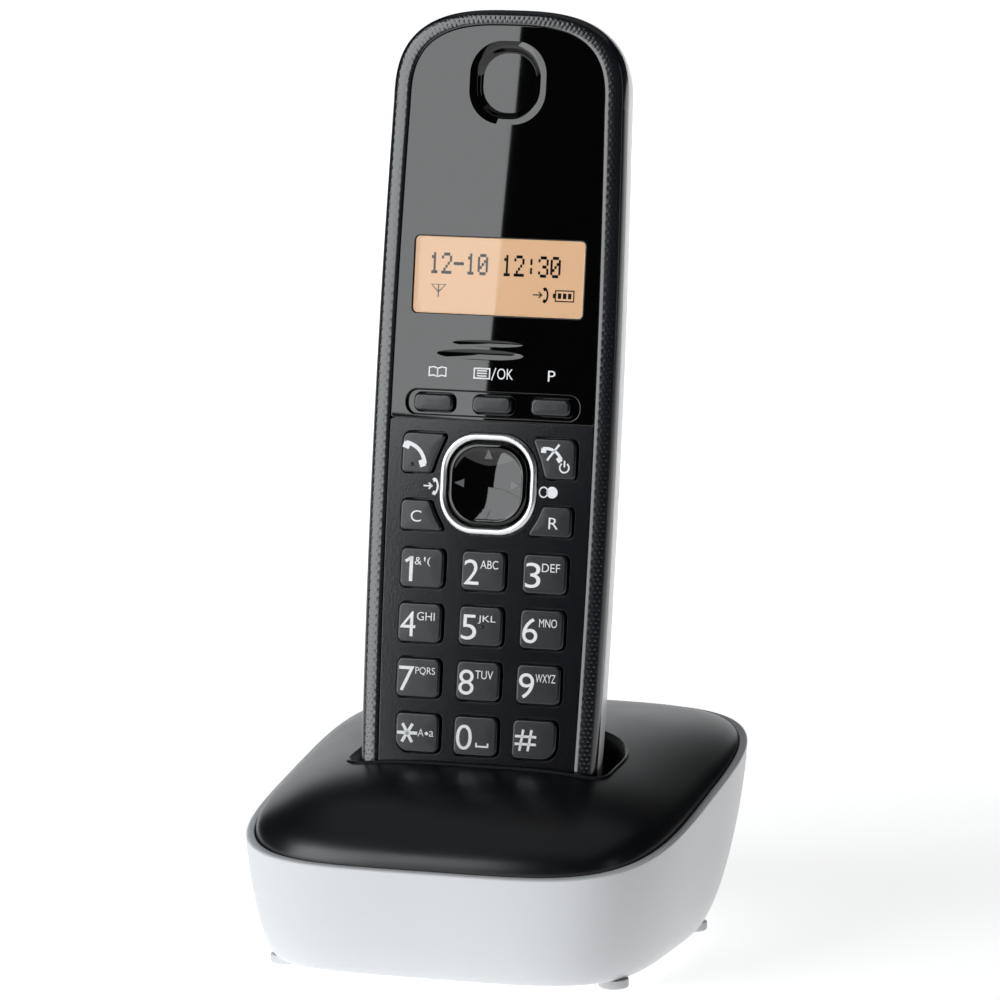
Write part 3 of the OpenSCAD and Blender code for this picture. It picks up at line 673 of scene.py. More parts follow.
def build_feet():
    low, high = node_box("base_feet")
    flat = FOOT_R - FOOT_EDGE
    profile = [(0.01, 0), (flat, 0)]
    profile += [(flat + FOOT_EDGE * math.sin(a), FOOT_EDGE * (1 - math.cos(a)))
                for a in np.linspace(0.2, PI / 2, 6)]
    profile += [(FOOT_R, high[2]), (0.01, high[2])]
    feet = [lathe(profile, (x, y)) for x in (low[0] + FOOT_R, high[0] - FOOT_R)
            for y in (low[1] + FOOT_R, high[1] - FOOT_R)]
    make("base_foot_pads", feet, "foot_rubber", "base", nodes=["base_feet"], place=False)


# Drop of the cradle's mouth below the dome; room round a charging contact and round the locator button
MOUTH_DROP, SLOT_ROOM, BUTTON_ROOM = 1.3, 0.8, 0.8


def build_cover():
    inset = SHELL_WALL + COVER_GAP
    # Rays from the cradle's middle join its outline on the dome to the cover's outline
    mouth = cup_outline(BEAD_W)
    lip = hs(level(mouth, on_dome(mouth)))
    centre = lip[:, :2].mean(0)
    angle = np.unwrap(np.arctan2(lip[:, 1] - centre[1], lip[:, 0] - centre[0]))
    edge = base_xy(DENSE, BASE_W, BASE_D, 0, inset)
    edge_angle = np.unwrap(np.arctan2(edge[:, 1] - centre[1], edge[:, 0] - centre[0]))
    order = np.argsort(edge_angle)
    wrapped = np.concatenate([edge_angle[order] - 2 * PI, edge_angle[order], edge_angle[order] + 2 * PI])
    x = np.interp(angle, wrapped, np.tile(edge[order, 0], 3))
    y = np.interp(angle, wrapped, np.tile(edge[order, 1], 3))
    rim = np.stack([x, y], -1)
    rings = []
    # Skirt, rounded outer edge, dome
    for down, g in ((SKIRT_H, 1.6), (SKIRT_H * 0.6, 0.7), (1.5, 0.15), (0.6, 0.0)):
        p = rim * (1 - g / (BASE_D / 2))
        rings.append(level(p, rim_at(rim[:, 1]) - down))
    for f in np.linspace(0, 1, 46) ** 1.8:
        xy = mix(rim, lip[:, :2], f)
        rings.append(level(xy, dome_at(xy[:, 0], xy[:, 1])))
    # Rolled rim of the cradle, from the dome over a bead into the cup
    for k in range(1, BEAD_STEPS + 1):
        s = k / BEAD_STEPS
        grow = BEAD_W * (1 - s) + 0.25 * math.sin(PI * s)
        section = cup_outline(grow)
        rise = RIM_BEAD * math.sin(PI * min(1, s * 1.25)) ** 1.2 if s < 0.8 else 0.0
        fall = MOUTH_DROP * max(0, (s - 0.45) / 0.55) ** 2.2
        rings.append(hs(level(section, on_dome(section) + rise - fall)))
    section = cup_outline(0)
    top = on_dome(section) - MOUTH_DROP
    for f in (0.12, 0.4, 0.7, 0.93):
        rings.append(hs(level(section, mix(top, CUP_FLOOR, f))))
    for grow, z in ((-0.3, CUP_FLOOR + 0.08), (-0.8, CUP_FLOOR)):
        rings.append(hs(level(cup_outline(grow), z)))
    floor_ring = rings[-1]
    # Underside: cup floor, cup wall outside, dome inside, back to the skirt
    wall = cup_outline(CUP_WALL)
    wall_top = on_dome(wall) - COVER_WALL
    under_z = CUP_FLOOR - CUP_WALL
    under_floor = hs(level(wall, under_z))
    back = [under_floor]
    back += [hs(level(wall, mix(under_z, wall_top, f))) for f in (0.3, 0.6, 1)]
    for f in (0.15, 0.4, 0.65, 0.85, 0.97):
        xy = mix(back[3][:, :2], rim * (1 - COVER_WALL / (BASE_D / 2)), f)
        under_dome = np.maximum(dome_at(xy[:, 0], xy[:, 1]) - COVER_WALL, rim_at(xy[:, 1]) - 2)
        back.append(level(xy, under_dome))
    p = rim * (1 - (COVER_WALL + 1.6) / (BASE_D / 2))
    back.append(level(p, rim_at(rim[:, 1]) - SKIRT_H))
    # Floor of the cup with its two contact slots
    slots = [box_loop(sx * CONTACT_X, CONTACT_Y, CONTACT_W + SLOT_ROOM, 2 * CONTACT_R + SLOT_ROOM, 0.4, 6)
             for sx in (-1, 1)]

    def floor_at(z, ring):
        return filled([ring] + [hs(level(slot, z)) for slot in slots])

    slot_walls = [tube([hs(level(slot, z)) for z in (CUP_FLOOR, under_z)], first_cap=False, last_cap=False)
                  for slot in slots]
    skin = merge(
        tube(rings, first_cap=False, last_cap=False), floor_at(CUP_FLOOR, floor_ring), *slot_walls,
        floor_at(under_z, under_floor), tube(back, first_cap=False, last_cap=False),
        tube([back[-1], rings[0]], first_cap=False, last_cap=False))
    cover = solid("cover_blank", [skin], place=False)
    button = box_loop(0, LOCATOR_Y, LOCATOR_W + BUTTON_ROOM, LOCATOR_H + BUTTON_ROOM,
                      (LOCATOR_H + BUTTON_ROOM) / 2 - 0.01, 16)
    well = tube([level(button, z) for z in (25.0, 60.0)])
    carve(cover, ("DIFFERENCE", solid("button_well", [well], place=False)))
    promote(cover, "base_cover_dome", 40, "base_black", "base", ["base_top_cover"])


def build_locator_button():
    """An oval cap that follows the dome, with a hollow for the finger, a flange and a stem."""
    low, high = node_box("locator_button")
    top, flange_low, flange_top = high[2], high[2] - 4.4, high[2] - 3.4
    edge, crown = 0.9, 0.28
    loop = box_loop(0, LOCATOR_Y, LOCATOR_W, LOCATOR_H, LOCATOR_H / 2 - 0.01, 16)
    rings = [level(loop, flange_low)]
    for inset, drop in ((0, 1.2), (0.05, 0.9), (0.2, 0.6), (0.5, 0.38), (edge, crown)):
        rings.append(level(shrink(loop, inset), top - drop))
    for f in (0.75, 0.5, 0.25, 0.05):
        rings.append(level(scaled(shrink(loop, edge), f), top - crown - 0.35 * (1 - f * f)))
    flange = box_loop(0, LOCATOR_Y, LOCATOR_W + 2, LOCATOR_H + 2, LOCATOR_H / 2 + 0.99, 16)
    stem_top, stem_r = high[2] - 4.2, 1.6
    stem = [(0.01, low[2]), (stem_r, low[2]), (stem_r, stem_top), (0.01, stem_top)]
    parts = [tube(rings), tube([level(flange, z) for z in (flange_low, flange_top)]),
             lathe(stem, (0, LOCATOR_Y - 2))]
    make("locator_button_cap", parts, "button_black", "locator_button", nodes=["locator_button"], place=False)


# --- Handset --------------------------------------------------------------------------------------
def outline_dense(inset, low_inset=None, arc=500, side=240):
    """Dense outline, drawn in by inset, and at the bottom end by low_inset where it is given."""
    rise = LOW_R - (inset if low_inset is None else low_inset)
    a = np.linspace(0, 1, arc) ** 1.6 * PI / 2
    low = np.stack([(HALF_LOW - inset) * np.sin(a) ** LOW_EXP, LOW_R - rise * np.cos(a) ** LOW_EXP], -1)
    s = np.linspace(0, 1, side)[1:-1]
    bulge = 4 * s * (1 - s) * (HALF_MID - (HALF_LOW + HALF_TOP) / 2)
    mid = np.stack([mix(HALF_LOW, HALF_TOP, s) + bulge - inset, mix(LOW_R, HS_LEN - TOP_R, s)], -1)
    b = PI / 2 - a[::-1]
    top = np.stack([(HALF_TOP - inset) * np.cos(b) ** TOP_EXP,
                    HS_LEN - TOP_R + (TOP_R - TOP_SHARE * inset) * np.sin(b) ** TOP_EXP], -1)
    right = np.vstack([low, mid, top])
    left = right[-2:0:-1] * [-1, 1]
    return np.vstack([right, left])


OUTLINE_INDEX = {}


def outline(inset, n=400, low_inset=None):
    """The handset's outline drawn in by inset, with point i of every inset on the same ray."""
    if n not in OUTLINE_INDEX:
        OUTLINE_INDEX[n] = spaced(outline_dense(0), n)
    return pick(outline_dense(inset, low_inset), OUTLINE_INDEX[n])


CUT_R = 0.5


def outline_part(inset, keep):
    """The outline's points at the heights that keep() allows, from one end of the gap to the other."""
    loop = outline(inset, 700)
    part = loop[keep(loop[:, 1])]
    steps = np.linalg.norm(np.diff(np.vstack([part, part[:1]]), axis=0), axis=1)
    return np.roll(part, -int(np.argmax(steps)) - 1, 0)


def outline_above(inset, z):
    """The outline's part above z, closed by a straight line, counter-clockwise, corners slightly rounded."""
    part = outline_part(inset, lambda height: height > z + CUT_R)
    half = part[0][0]
    bend = [(half - CUT_R * (1 - math.sin(a)), z + CUT_R * (1 - math.cos(a)))
            for a in np.linspace(0.01, PI / 2, 5)]
    return np.vstack([bend, part, [(-x, y) for x, y in bend[::-1]]])


def outline_below(inset, z):
    """The outline's part below z, closed in the same way."""
    part = outline_part(inset, lambda height: height < z - CUT_R)
    half = part[-1][0]
    bend = [(half - CUT_R * (1 - math.cos(a)), z - CUT_R * (1 - math.sin(a)))
            for a in np.linspace(0.01, PI / 2, 5)]
    return np.vstack([part, bend, [(-x, y) for x, y in bend[::-1]]])


def key_place(col, row):
    """Middle of a number key; the outer columns lean in a little towards the bottom row."""
    return col * (COL_PITCH - COL_TAPER * row * row), ROW_TOP - row * ROW_PITCH


def key_loop(col, row, grow=0.0):
    x, z = key_place(col, row)
    w, h = KEY_W / 2 + grow, KEY_H / 2 + grow
    low = [KEY_ROUND + grow] * 2
    if row == 3 and col:
        low[0 if col < 0 else 1] = KEY_ROUND + grow + 1.6
    corners = [(x - w, z - h), (x + w, z - h), (x + w, z + h), (x - w, z + h)]
    return round_poly(corners, [*low, KEY_ROUND + grow, KEY_ROUND + grow], 10)


def upper_corner_loop(side, grow=0.0):
    pts = [(18.1, 67.0), (18.1, 75.1), (8.9, 75.0), (10.75, 70.6), (11.9, 67.0)]
    radii = [0.9, 1.7, 0.7, 6.0, 1.0]
    return corner_loop(pts, radii, side, grow)


def lower_corner_loop(side, grow=0.0):
    pts = [(17.85, 55.6), (17.85, 61.7), (11.8, 61.7), (10.6, 58.9), (8.6, 55.6)]
    radii = [1.0, 1.2, 1.0, 6.0, 0.6]
    return corner_loop(pts, radii, side, grow)


def corner_loop(pts, radii, side, grow):
    loop = round_poly([(side * x, z) for x, z in (pts if side > 0 else pts[::-1])],
                      radii if side > 0 else radii[::-1], 8)
    return shrink(loop, -grow)


def soft_loop(col, grow=0.0):
    return box_loop(col * SOFT_PITCH, SOFT_Z, SOFT_W + 2 * grow, SOFT_H + 2 * grow, 1.2 + grow, 8)


def squircle(d, n=160):
    r = NAV_ROUND * d / NAV_D
    return even(box_loop(0, NAV_Z, d, d, r, 24), n)


KEYS = {f"key_{label}": (col, row) for label, col, row in [
    ("1", -1, 0), ("2", 0, 0), ("3", 1, 0), ("4", -1, 1), ("5", 0, 1), ("6", 1, 1),
    ("7", -1, 2), ("8", 0, 2), ("9", 1, 2), ("star", -1, 3), ("0", 0, 3), ("hash", 1, 3)]}
CORNER_KEYS = {"talk_key": (upper_corner_loop, -1), "off_key": (upper_corner_loop, 1),
               "clear_key": (lower_corner_loop, -1), "recall_key": (lower_corner_loop, 1)}
SOFT_KEYS = {"soft_key_left": -1, "soft_key_middle": 0, "soft_key_right": 1}


def all_key_loops(grow):
    number_keys = [key_loop(col, row, grow) for col, row in KEYS.values()]
    return number_keys + [shape(side, grow) for shape, side in CORNER_KEYS.values()]


# Height of a key's crown above its shoulder, and the thickness of the print
KEY_CROWN, PRINT_T = 0.02, 0.035


def key_cap(loop, flange, proud, soft=0.42):
    """A key: flange, straight sides, a soft shoulder and a nearly flat top."""
    flange_y = FLANGE_Y + 0.03
    rings = [at_depth(flange, KEY_BOTTOM), at_depth(flange, flange_y), at_depth(loop, flange_y)]
    for a in PI / 2 * np.arange(8) / 7:
        rings.append(at_depth(shrink(loop, soft * (1 - math.cos(a))), -proud + soft * (1 - math.sin(a))))
    inner = shrink(loop, soft + 0.05)
    rings += [at_depth(inner, -proud)]
    rings += [at_depth(scaled(inner, f), -proud - KEY_CROWN) for f in (0.7, 0.3)]
    return tube(rings)


# Dimples of the bezel: pitch, radius, depth and the height of a row in pitches
DIMPLE_PITCH, DIMPLE_R, DIMPLE_DEPTH, DIMPLE_ROW = 1.0, 0.3, 0.03, 0.866


def build_front_case():
    """Bezel ring with its dimples, and the wall behind the panel and keypad plate."""
    points, steps = 2700, 36
    inner = BEZEL_W + 0.02
    rings = [(2.1, BEZEL_D), (0.2, BEZEL_D)]
    rings += [(BEZEL_W * (1 - math.cos(a) ** BEZEL_EXP), BEZEL_D * (1 - math.sin(a) ** BEZEL_EXP))
              for a in np.linspace(0, PI / 2, steps)]
    rings[-1] = (BEZEL_W - 0.2, 0.0)
    rings += [(inner - 0.05, 0.06), (inner, 0.2), (inner, PANEL_T), (2.1, PANEL_T + 0.4)]
    stack = np.array([at_depth(outline(i, points), y) for i, y in rings])
    # Staggered dimples, fading out towards both edges of the bezel
    inset, depth = (np.array(column)[:, None] for column in zip(*rings))
    x, z = stack[..., 0], stack[..., 2]
    row = np.round(z / (DIMPLE_PITCH * DIMPLE_ROW))
    shift = np.where(row % 2, 0.5, 0.0)
    col = np.round(x / DIMPLE_PITCH - shift) + shift
    away = np.hypot(x - col * DIMPLE_PITCH, z - row * DIMPLE_PITCH * DIMPLE_ROW)
    fade = np.clip((inset - 0.75) / 0.35, 0, 1) * np.clip((BEZEL_W - 0.3 - inset) / 0.3, 0, 1) * (depth < 2)
    stack[..., 1] += DIMPLE_DEPTH * fade * np.clip(1 - (away / DIMPLE_R) ** 2, 0, 1)
    wall_outline = outline(2.2, 300)
    openings = all_key_loops(KEY_GAP - 0.02) + [soft_loop(c, KEY_GAP - 0.02) for c in SOFT_KEYS.values()]
    openings += [squircle(NAV_CAP + 1.4, 80),
                 box_loop(0, WINDOW_Z, WINDOW_W + 3.4, WINDOW_H + 5.4, 0.4, 5),
                 ellipse(0, EAR_Z, EAR_W / 2 - 1.6, EAR_H / 2 - 1.6), ellipse(0, 8, 1, 1, 20)]
    wall = plate(wall_outline, openings, PANEL_T + 0.05, WALL_BACK, 0.05)
    make("handset_bezel", [tube(stack, closed=True)], "bezel_black", "handset",
         nodes=["handset_front_case"])
    make("handset_front_wall", [wall], "bezel_black", "handset")


# Depth of the ear dish at each share of the way from its outline to its floor, then over the floor
EAR_FLOOR_W, EAR_FLOOR_H = 10.4, 11.2
EAR_PROFILE = [(-0.06, 0.0), (0.0, 0.02), (0.08, 0.05), (0.2, 0.1), (0.35, 0.17), (0.46, 0.24), (0.51, 0.34),
               (0.56, 0.5), (0.66, 0.86), (0.8, 1.26), (0.92, 1.45), (0.98, 1.5), (1.0, 1.5)]
EAR_FLOOR_PROFILE = [(0.98, 1.5), (0.95, 1.51), (0.88, 1.54), (0.86, 1.62), (0.84, 1.62), (0.82, 1.56),
                     (0.79, 1.55), (0.6, 1.59), (0.4, 1.615), (0.2, 1.63), (0.05, 1.635)]


def build_panel():
    outer = outline_above(BEZEL_W + 0.1, SEAM_Z + 0.08)
    window = box_loop(0, WINDOW_Z, WINDOW_W, WINDOW_H, 0.9, 8)
    slot = box_loop(0, SOFT_Z, SLOT_W, SLOT_H, 2.2, 12)
    ear = even(box_loop(0, EAR_Z, EAR_W, EAR_H, 6.6, 24), 120)
    ear_floor = even(box_loop(0, EAR_Z, EAR_FLOOR_W, EAR_FLOOR_H, 4.9, 24), 120)

    # The ear dish: a gently sloping lip, a steep wall, a bevel and a groove round the slightly hollow floor
    ear_rings = [at_depth(mix(ear, ear_floor, s), y) for s, y in EAR_PROFILE]
    ear_rings += [at_depth(scaled(ear_floor, f), y) for f, y in EAR_FLOOR_PROFILE]
    # The thumb grip under the display: two thin hollows, one above the other
    lenses = [[at_depth(ellipse(cx, cz, rx * f, rz * f, 96), deep * (1 - f * f))
               for f in (1.0, 0.98, 0.94, 0.88, 0.8, 0.7, 0.58, 0.44, 0.28, 0.1)]
              for cx, cz, rx, rz, deep in ((-1.6, 93.15, 7.3, 0.68, 0.1), (-3.1, 90.9, 9.0, 1.05, 0.16))]
    body = plate(outer, [window, slot], 0.0, PANEL_T, 0.22, dishes=[ear_rings, *lenses])
    make("panel_glossy", [body], "panel_gloss", "handset", nodes=["front_panel"], sharp=38)

    # Glossy floor of the soft keys' slot
    well = plate(box_loop(0, SOFT_Z, SLOT_W - 0.02, SLOT_H - 0.02, 2.19, 12),
                 [soft_loop(c, 0.22) for c in SOFT_KEYS.values()], 0.85, PANEL_T - 0.02, 0.1)
    make("soft_key_well", [well], "panel_gloss", "handset")

    # Earpiece: two narrow sound openings beside the dish's floor
    ear_plate = plate(ellipse(0, EAR_Z, 6.4, 6.6, 96),
                      [box_loop(sx * 4.6, EAR_Z, 0.5, 3.2, 0.24, 6) for sx in (-1, 1)], 1.72, 2.2, 0.08)
    make("earpiece_plate", [ear_plate], "mesh_black", "handset", nodes=["earpiece_mesh"])

    # Legends above the soft keys: an open book, a menu, OK and P
    front, back = -PRINT_T, 0.0
    line = pen(front, back, 0.26)
    low_z, top_z = 86.35, 88.0
    pages = [(-13.5, 0), (-12.6, 0.15), (-11.75, -0.15), (-10.9, 0.15), (-10.0, 0)]
    cover = [(x, top_z + up) for x, up in pages]
    cover += [(x, low_z + up) for x, up in pages[::-1]]
    book = [line(cover, closed=True),
            line([(-11.75, top_z - 0.15), (-11.75, low_z - 0.15)])]
    menu = [line([(-4.1, 88.2), (-0.9, 88.2), (-0.9, 86.25), (-4.1, 86.25)], closed=True)]
    menu += [line([(-3.5, z), (-1.5, z)], 0.22) for z in (87.75, 87.25, 86.72)]
    words = [line([(-0.45, 85.95), (0.35, 88.4)], 0.22),
             text_part("OK", (0.7, 86.2, 4.0, 88.35), front, back),
             text_part("P", (11.25, 86.2, 12.75, 88.35), front, back)]
    make_print("panel_legends", book + menu + words, "handset")


def build_keypad_plate():
    outer = outline_below(BEZEL_W + 0.1, SEAM_Z - 0.08)
    holes = all_key_loops(0.24) + [squircle(NAV_D + 0.12, 120), ellipse(0, 8, 0.5, 0.5, 20)]
    body = plate(outer, holes, 0.1, PANEL_T, 0.12)
    make("keypad_face", [body], "keypad_dark", "handset", nodes=["keypad_plate"], sharp=50)

    # An arrow to a telephone handset, a ring and a disc beside the navigation key
    front, back = 0.1 - PRINT_T, 0.11
    line = pen(front, back, 0.3)
    call = [line([(-13.6, 64.5), (-11.9, 64.5)]), line([(-12.5, 65.1), (-11.85, 64.5), (-12.5, 63.9)]),
            *handset_glyph((-11.15, 64.45), 1.55, 90, front, back)]
    rings = [line(ellipse(11.45, 64.4, 0.85, 1.0, 32), 0.26, True),
             prism(ellipse(13.2, 64.4, 1.15, 1.15, 36), front, back)]
    make_print("keypad_side_legends", call + rings, "handset")


def handset_glyph(centre, reach, turn, front, back):
    """A telephone handset symbol: a thin bowed grip between two thick ends."""
    turn = math.radians(turn)

    def place(u, v):
        return (centre[0] + u * math.cos(turn) - v * math.sin(turn),
                centre[1] + u * math.sin(turn) + v * math.cos(turn))

    bow = [place(reach * u, -0.34 * reach * (1 - u * u)) for u in np.linspace(-1, 1, 13)]
    ends = [[place(s * reach * 0.62, 0.02 * reach), place(s * reach * 1.06, 0.22 * reach)] for s in (-1, 1)]
    grip = stroke(bow, 0.26 * reach, front, back)
    return [grip] + [stroke(end, 0.42 * reach, front - 0.002, back) for end in ends]


LETTERS = {"2": "ABC", "3": "DEF", "4": "GHI", "5": "JKL", "6": "MNO", "7": "PQRS", "8": "TUV", "9": "WXYZ"}
KEY_FRONT, KEY_BACK = -KEY_PROUD - KEY_CROWN - PRINT_T, -KEY_PROUD + 0.01


def number_key_print(label, x, z):
    """What is printed on the number key at (x, z): its digit or sign, then its letters or symbols."""
    front, back = KEY_FRONT, KEY_BACK
    line = pen(front, back, 0.3)
    left, low_z, high_z = x - 3.95, z - 2.75, z + 2.2
    if label == "star":
        cx, cz, reach = x - 2.0, z - 0.1, 2.1
        parts = [line([(cx - reach * math.cos(t), cz - reach * math.sin(t)),
                       (cx + reach * math.cos(t), cz + reach * math.sin(t))], 0.62)
                 for t in (0, PI / 3, 2 * PI / 3)]
        parts += [text_part("A", (x + 0.25, z - 0.65, x + 1.45, z + 0.85), front, back),
                  text_part("a", (x + 2.6, z - 0.65, x + 3.5, z + 0.5), front, back),
                  line([(x + 1.65, z - 0.05), (x + 2.4, z - 0.05)], 0.28),
                  prism(ellipse(x + 2.05, z - 0.05, 0.36, 0.36, 16), front - 0.004, back)]
    elif label == "hash":
        cx, cz = x - 1.7, z - 0.15
        parts = [line([(cx + d - 0.32, cz - 2.1), (cx + d + 0.32, cz + 2.1)], 0.5) for d in (-0.85, 0.85)]
        parts += [line([(cx - 2.2, cz + d), (cx + 2.2, cz + d)], 0.5) for d in (-0.75, 0.75)]
    elif label == "0":
        parts = [text_part("0", (left, low_z, left + 3.3, high_z), front, back),
                 line([(x + 0.3, z - 1.25), (x + 0.3, z - 1.95),
                       (x + 2.7, z - 1.95), (x + 2.7, z - 1.25)], 0.34)]
    elif label == "1":
        parts = [line([(left + 1.75, low_z), (left + 1.75, high_z)], 0.72),
                 line([(left + 1.85, high_z - 0.15), (left + 0.55, high_z - 1.05)], 0.6),
                 text_part("&", (x - 1.5, z + 0.6, x - 0.05, z + 2.1), front, back),
                 text_part("'", (x + 0.4, z + 1.3, x + 0.75, z + 2.15), front, back),
                 text_part("(", (x + 1.15, z + 0.35, x + 1.8, z + 2.15), front, back)]
    else:
        letters = LETTERS[label]
        wide = 4.1 if len(letters) > 3 else 3.7
        parts = [text_part(label, (left, low_z, left + 3.15, high_z), front, back),
                 text_part(letters, (x - 0.55, z + 0.5, x - 0.55 + wide, z + 2.15), front, back)]
    return parts


def build_keys():
    grow = KEY_GAP + 0.3
    for name, (col, row) in KEYS.items():
        make(f"{name}_cap", [key_cap(key_loop(col, row), key_loop(col, row, grow), KEY_PROUD)],
             "key_dark", name, nodes=[name])
    for name, (shape, side) in CORNER_KEYS.items():
        make(f"{name}_cap", [key_cap(shape(side), shape(side, grow), KEY_PROUD)],
             "key_dark", name, nodes=[name])
    for name, col in SOFT_KEYS.items():
        make(f"{name}_cap", [key_cap(soft_loop(col), soft_loop(col, grow), SOFT_PROUD, 0.5)],
             "key_dark", name, nodes=[name])

    for name, (col, row) in KEYS.items():
        x, z = key_place(col, row)
        label = name[4:]
        if label == "5":
            make("key_5_dot", [tactile_dot(x + 0.35, z - 0.15)], "key_dark", name)
        make_print(f"{name}_legend", number_key_print(label, x, z), name)
    build_corner_legends()


def build_corner_legends():
    front, back = KEY_FRONT, KEY_BACK
    line = pen(front, back, 0.3)
    make_print("talk_key_legend", handset_glyph((-15.2, 70.9), 2.9, 135, front, back), "talk_key")
    make("talk_key_dot", [tactile_dot(-15.9, 68.6)], "key_dark", "talk_key")
    # A handset crossed out, and a power sign
    end = handset_glyph((13.2, 72.0), 2.2, 153, front, back)
    end += [line([(12.2, 70.7), (14.6, 73.9)], 0.42)]
    power_x, power_z, power_r = 15.85, 69.4, 0.95
    end += [line([(power_x + power_r * math.cos(t), power_z + power_r * math.sin(t))
                  for t in np.linspace(math.radians(125), math.radians(415), 24)]),
            line([(power_x, power_z + 0.1), (power_x, power_z + 1.4)])]
    make_print("off_key_legend", end, "off_key")
    make_print("clear_key_legend", [text_part("C", (-15.6, 57.3, -13.4, 59.55), front, back)], "clear_key")
    make_print("recall_key_legend", [text_part("R", (13.15, 57.2, 15.1, 59.45), front, back)], "recall_key")


def tactile_dot(x, z, r=0.42):
    """A small raised dot on a key's top."""
    rings = [at_depth(ellipse(x, z, r * math.cos(a), r * math.cos(a), 20), -KEY_PROUD - r * 0.7 * math.sin(a))
             for a in np.linspace(-0.1, PI / 2 - 0.1, 7)]
    return tube(rings)


# Height of the navigation key's rim in front of the panel, and the width of its rounded edge
NAV_RIM, NAV_EDGE = 0.82, 1.15
NAV_REACH = NAV_CAP - 2 * NAV_EDGE


def nav_dish_y(f):
    """Depth of the navigation key's dish at a share f of the way from its middle to its rim."""
    return -NAV_RIM + NAV_DISH * (1 - f * f)


def build_nav():
    ring_low = -0.25
    profile = [(0, PANEL_T), (0, ring_low)]
    profile += [(NAV_BAND / 2 * (1 - math.cos(a)), ring_low - 0.55 * math.sin(a))
                for a in np.linspace(0.15, PI - 0.15, 13)]
    profile += [(NAV_BAND, ring_low), (NAV_BAND, PANEL_T)]
    rings = [at_depth(squircle(NAV_D - 2 * i, 200), y) for i, y in profile]
    make("nav_ring_band", [tube(rings, closed=True)], "ring_silver", "handset", nodes=["nav_ring"])

    # The key: straight sides, a rounded edge, and a dish that turns from a squircle into a circle
    edge = [(0, -0.4), (0.04, -0.6), (0.14, -0.75), (0.3, -0.85), (0.5, -0.9), (0.95, -0.9), (1.05, -0.88),
            (NAV_EDGE, -NAV_RIM)]
    rings = [at_depth(squircle(NAV_CAP), 2.4)]
    rings += [at_depth(squircle(NAV_CAP - 2 * i), y) for i, y in edge]
    rim = squircle(NAV_REACH)
    around = np.arctan2(rim[:, 1] - NAV_Z, rim[:, 0])
    circle = np.stack([np.cos(around), np.sin(around)], -1) * NAV_REACH / 2 + [0, NAV_Z]
    for f in (0.95, 0.88, 0.8, 0.7, 0.6, 0.5, 0.4, 0.3, 0.2, 0.1, 0.03):
        loop = (mix(circle, rim, f * f) - [0, NAV_Z]) * f + [0, NAV_Z]
        rings.append(at_depth(loop, nav_dish_y(f)))
    stem = tube([at_depth(ellipse(0, NAV_Z, 2.4, 2.4, 32), y) for y in (2.38, 2.8)])
    make("nav_button_cap", [tube(rings), stem], "nav_gloss", "nav_button", nodes=["nav_button"])

    wedges = [wedge(turn, reach) for turn, reach in ((0, 6.9), (90, 7.0), (180, 6.9), (270, 7.0))]
    make("nav_button_arrows", wedges, "wedge_grey", "nav_button")


def wedge(turn, reach):
    """A small triangle on the dish that points outwards; its tip is reach away from the middle."""
    turn = math.radians(turn)
    base, top = [], []
    for u, v in ((reach, 0), (reach - 2.0, 0.85), (reach - 2.0, -0.85)):
        x, z = u * math.cos(turn) - v * math.sin(turn), u * math.sin(turn) + v * math.cos(turn)
        y = nav_dish_y(min(1.0, math.hypot(x, z) * 2 / NAV_REACH))
        top.append((x, y - 0.14, NAV_Z + z))
        base.append((x, y + 0.3, NAV_Z + z))
    return tube([base, top])


DIGITS = {  # five by seven dots, rows from the top
    "0": "01110 10001 10011 10101 11001 10001 01110", "1": "00100 01100 00100 00100 00100 00100 01110",
    "2": "01110 10001 00001 00010 00100 01000 11111", "3": "01110 10001 00001 00110 00001 10001 01110",
    ":": "00000 00100 00100 00000 00100 00100 00000", "-": "00000 00000 00000 11111 00000 00000 00000",
    " ": "00000 00000 00000 00000 00000 00000 00000"}


DOT_PITCH_X, DOT_PITCH_Z, DOTS_LEFT, DOTS_TOP = 0.42, 0.6, -14.7, 110.85


def dot_places(text):
    """Middles of the display's dark dots; a character takes six columns."""
    return [(DOTS_LEFT + (6 * k + col) * DOT_PITCH_X, DOTS_TOP - (row + 0.5) * DOT_PITCH_Z)
            for k, char in enumerate(text)
            for row, bits in enumerate(DIGITS[char].split())
            for col, bit in enumerate(bits) if bit == "1"]


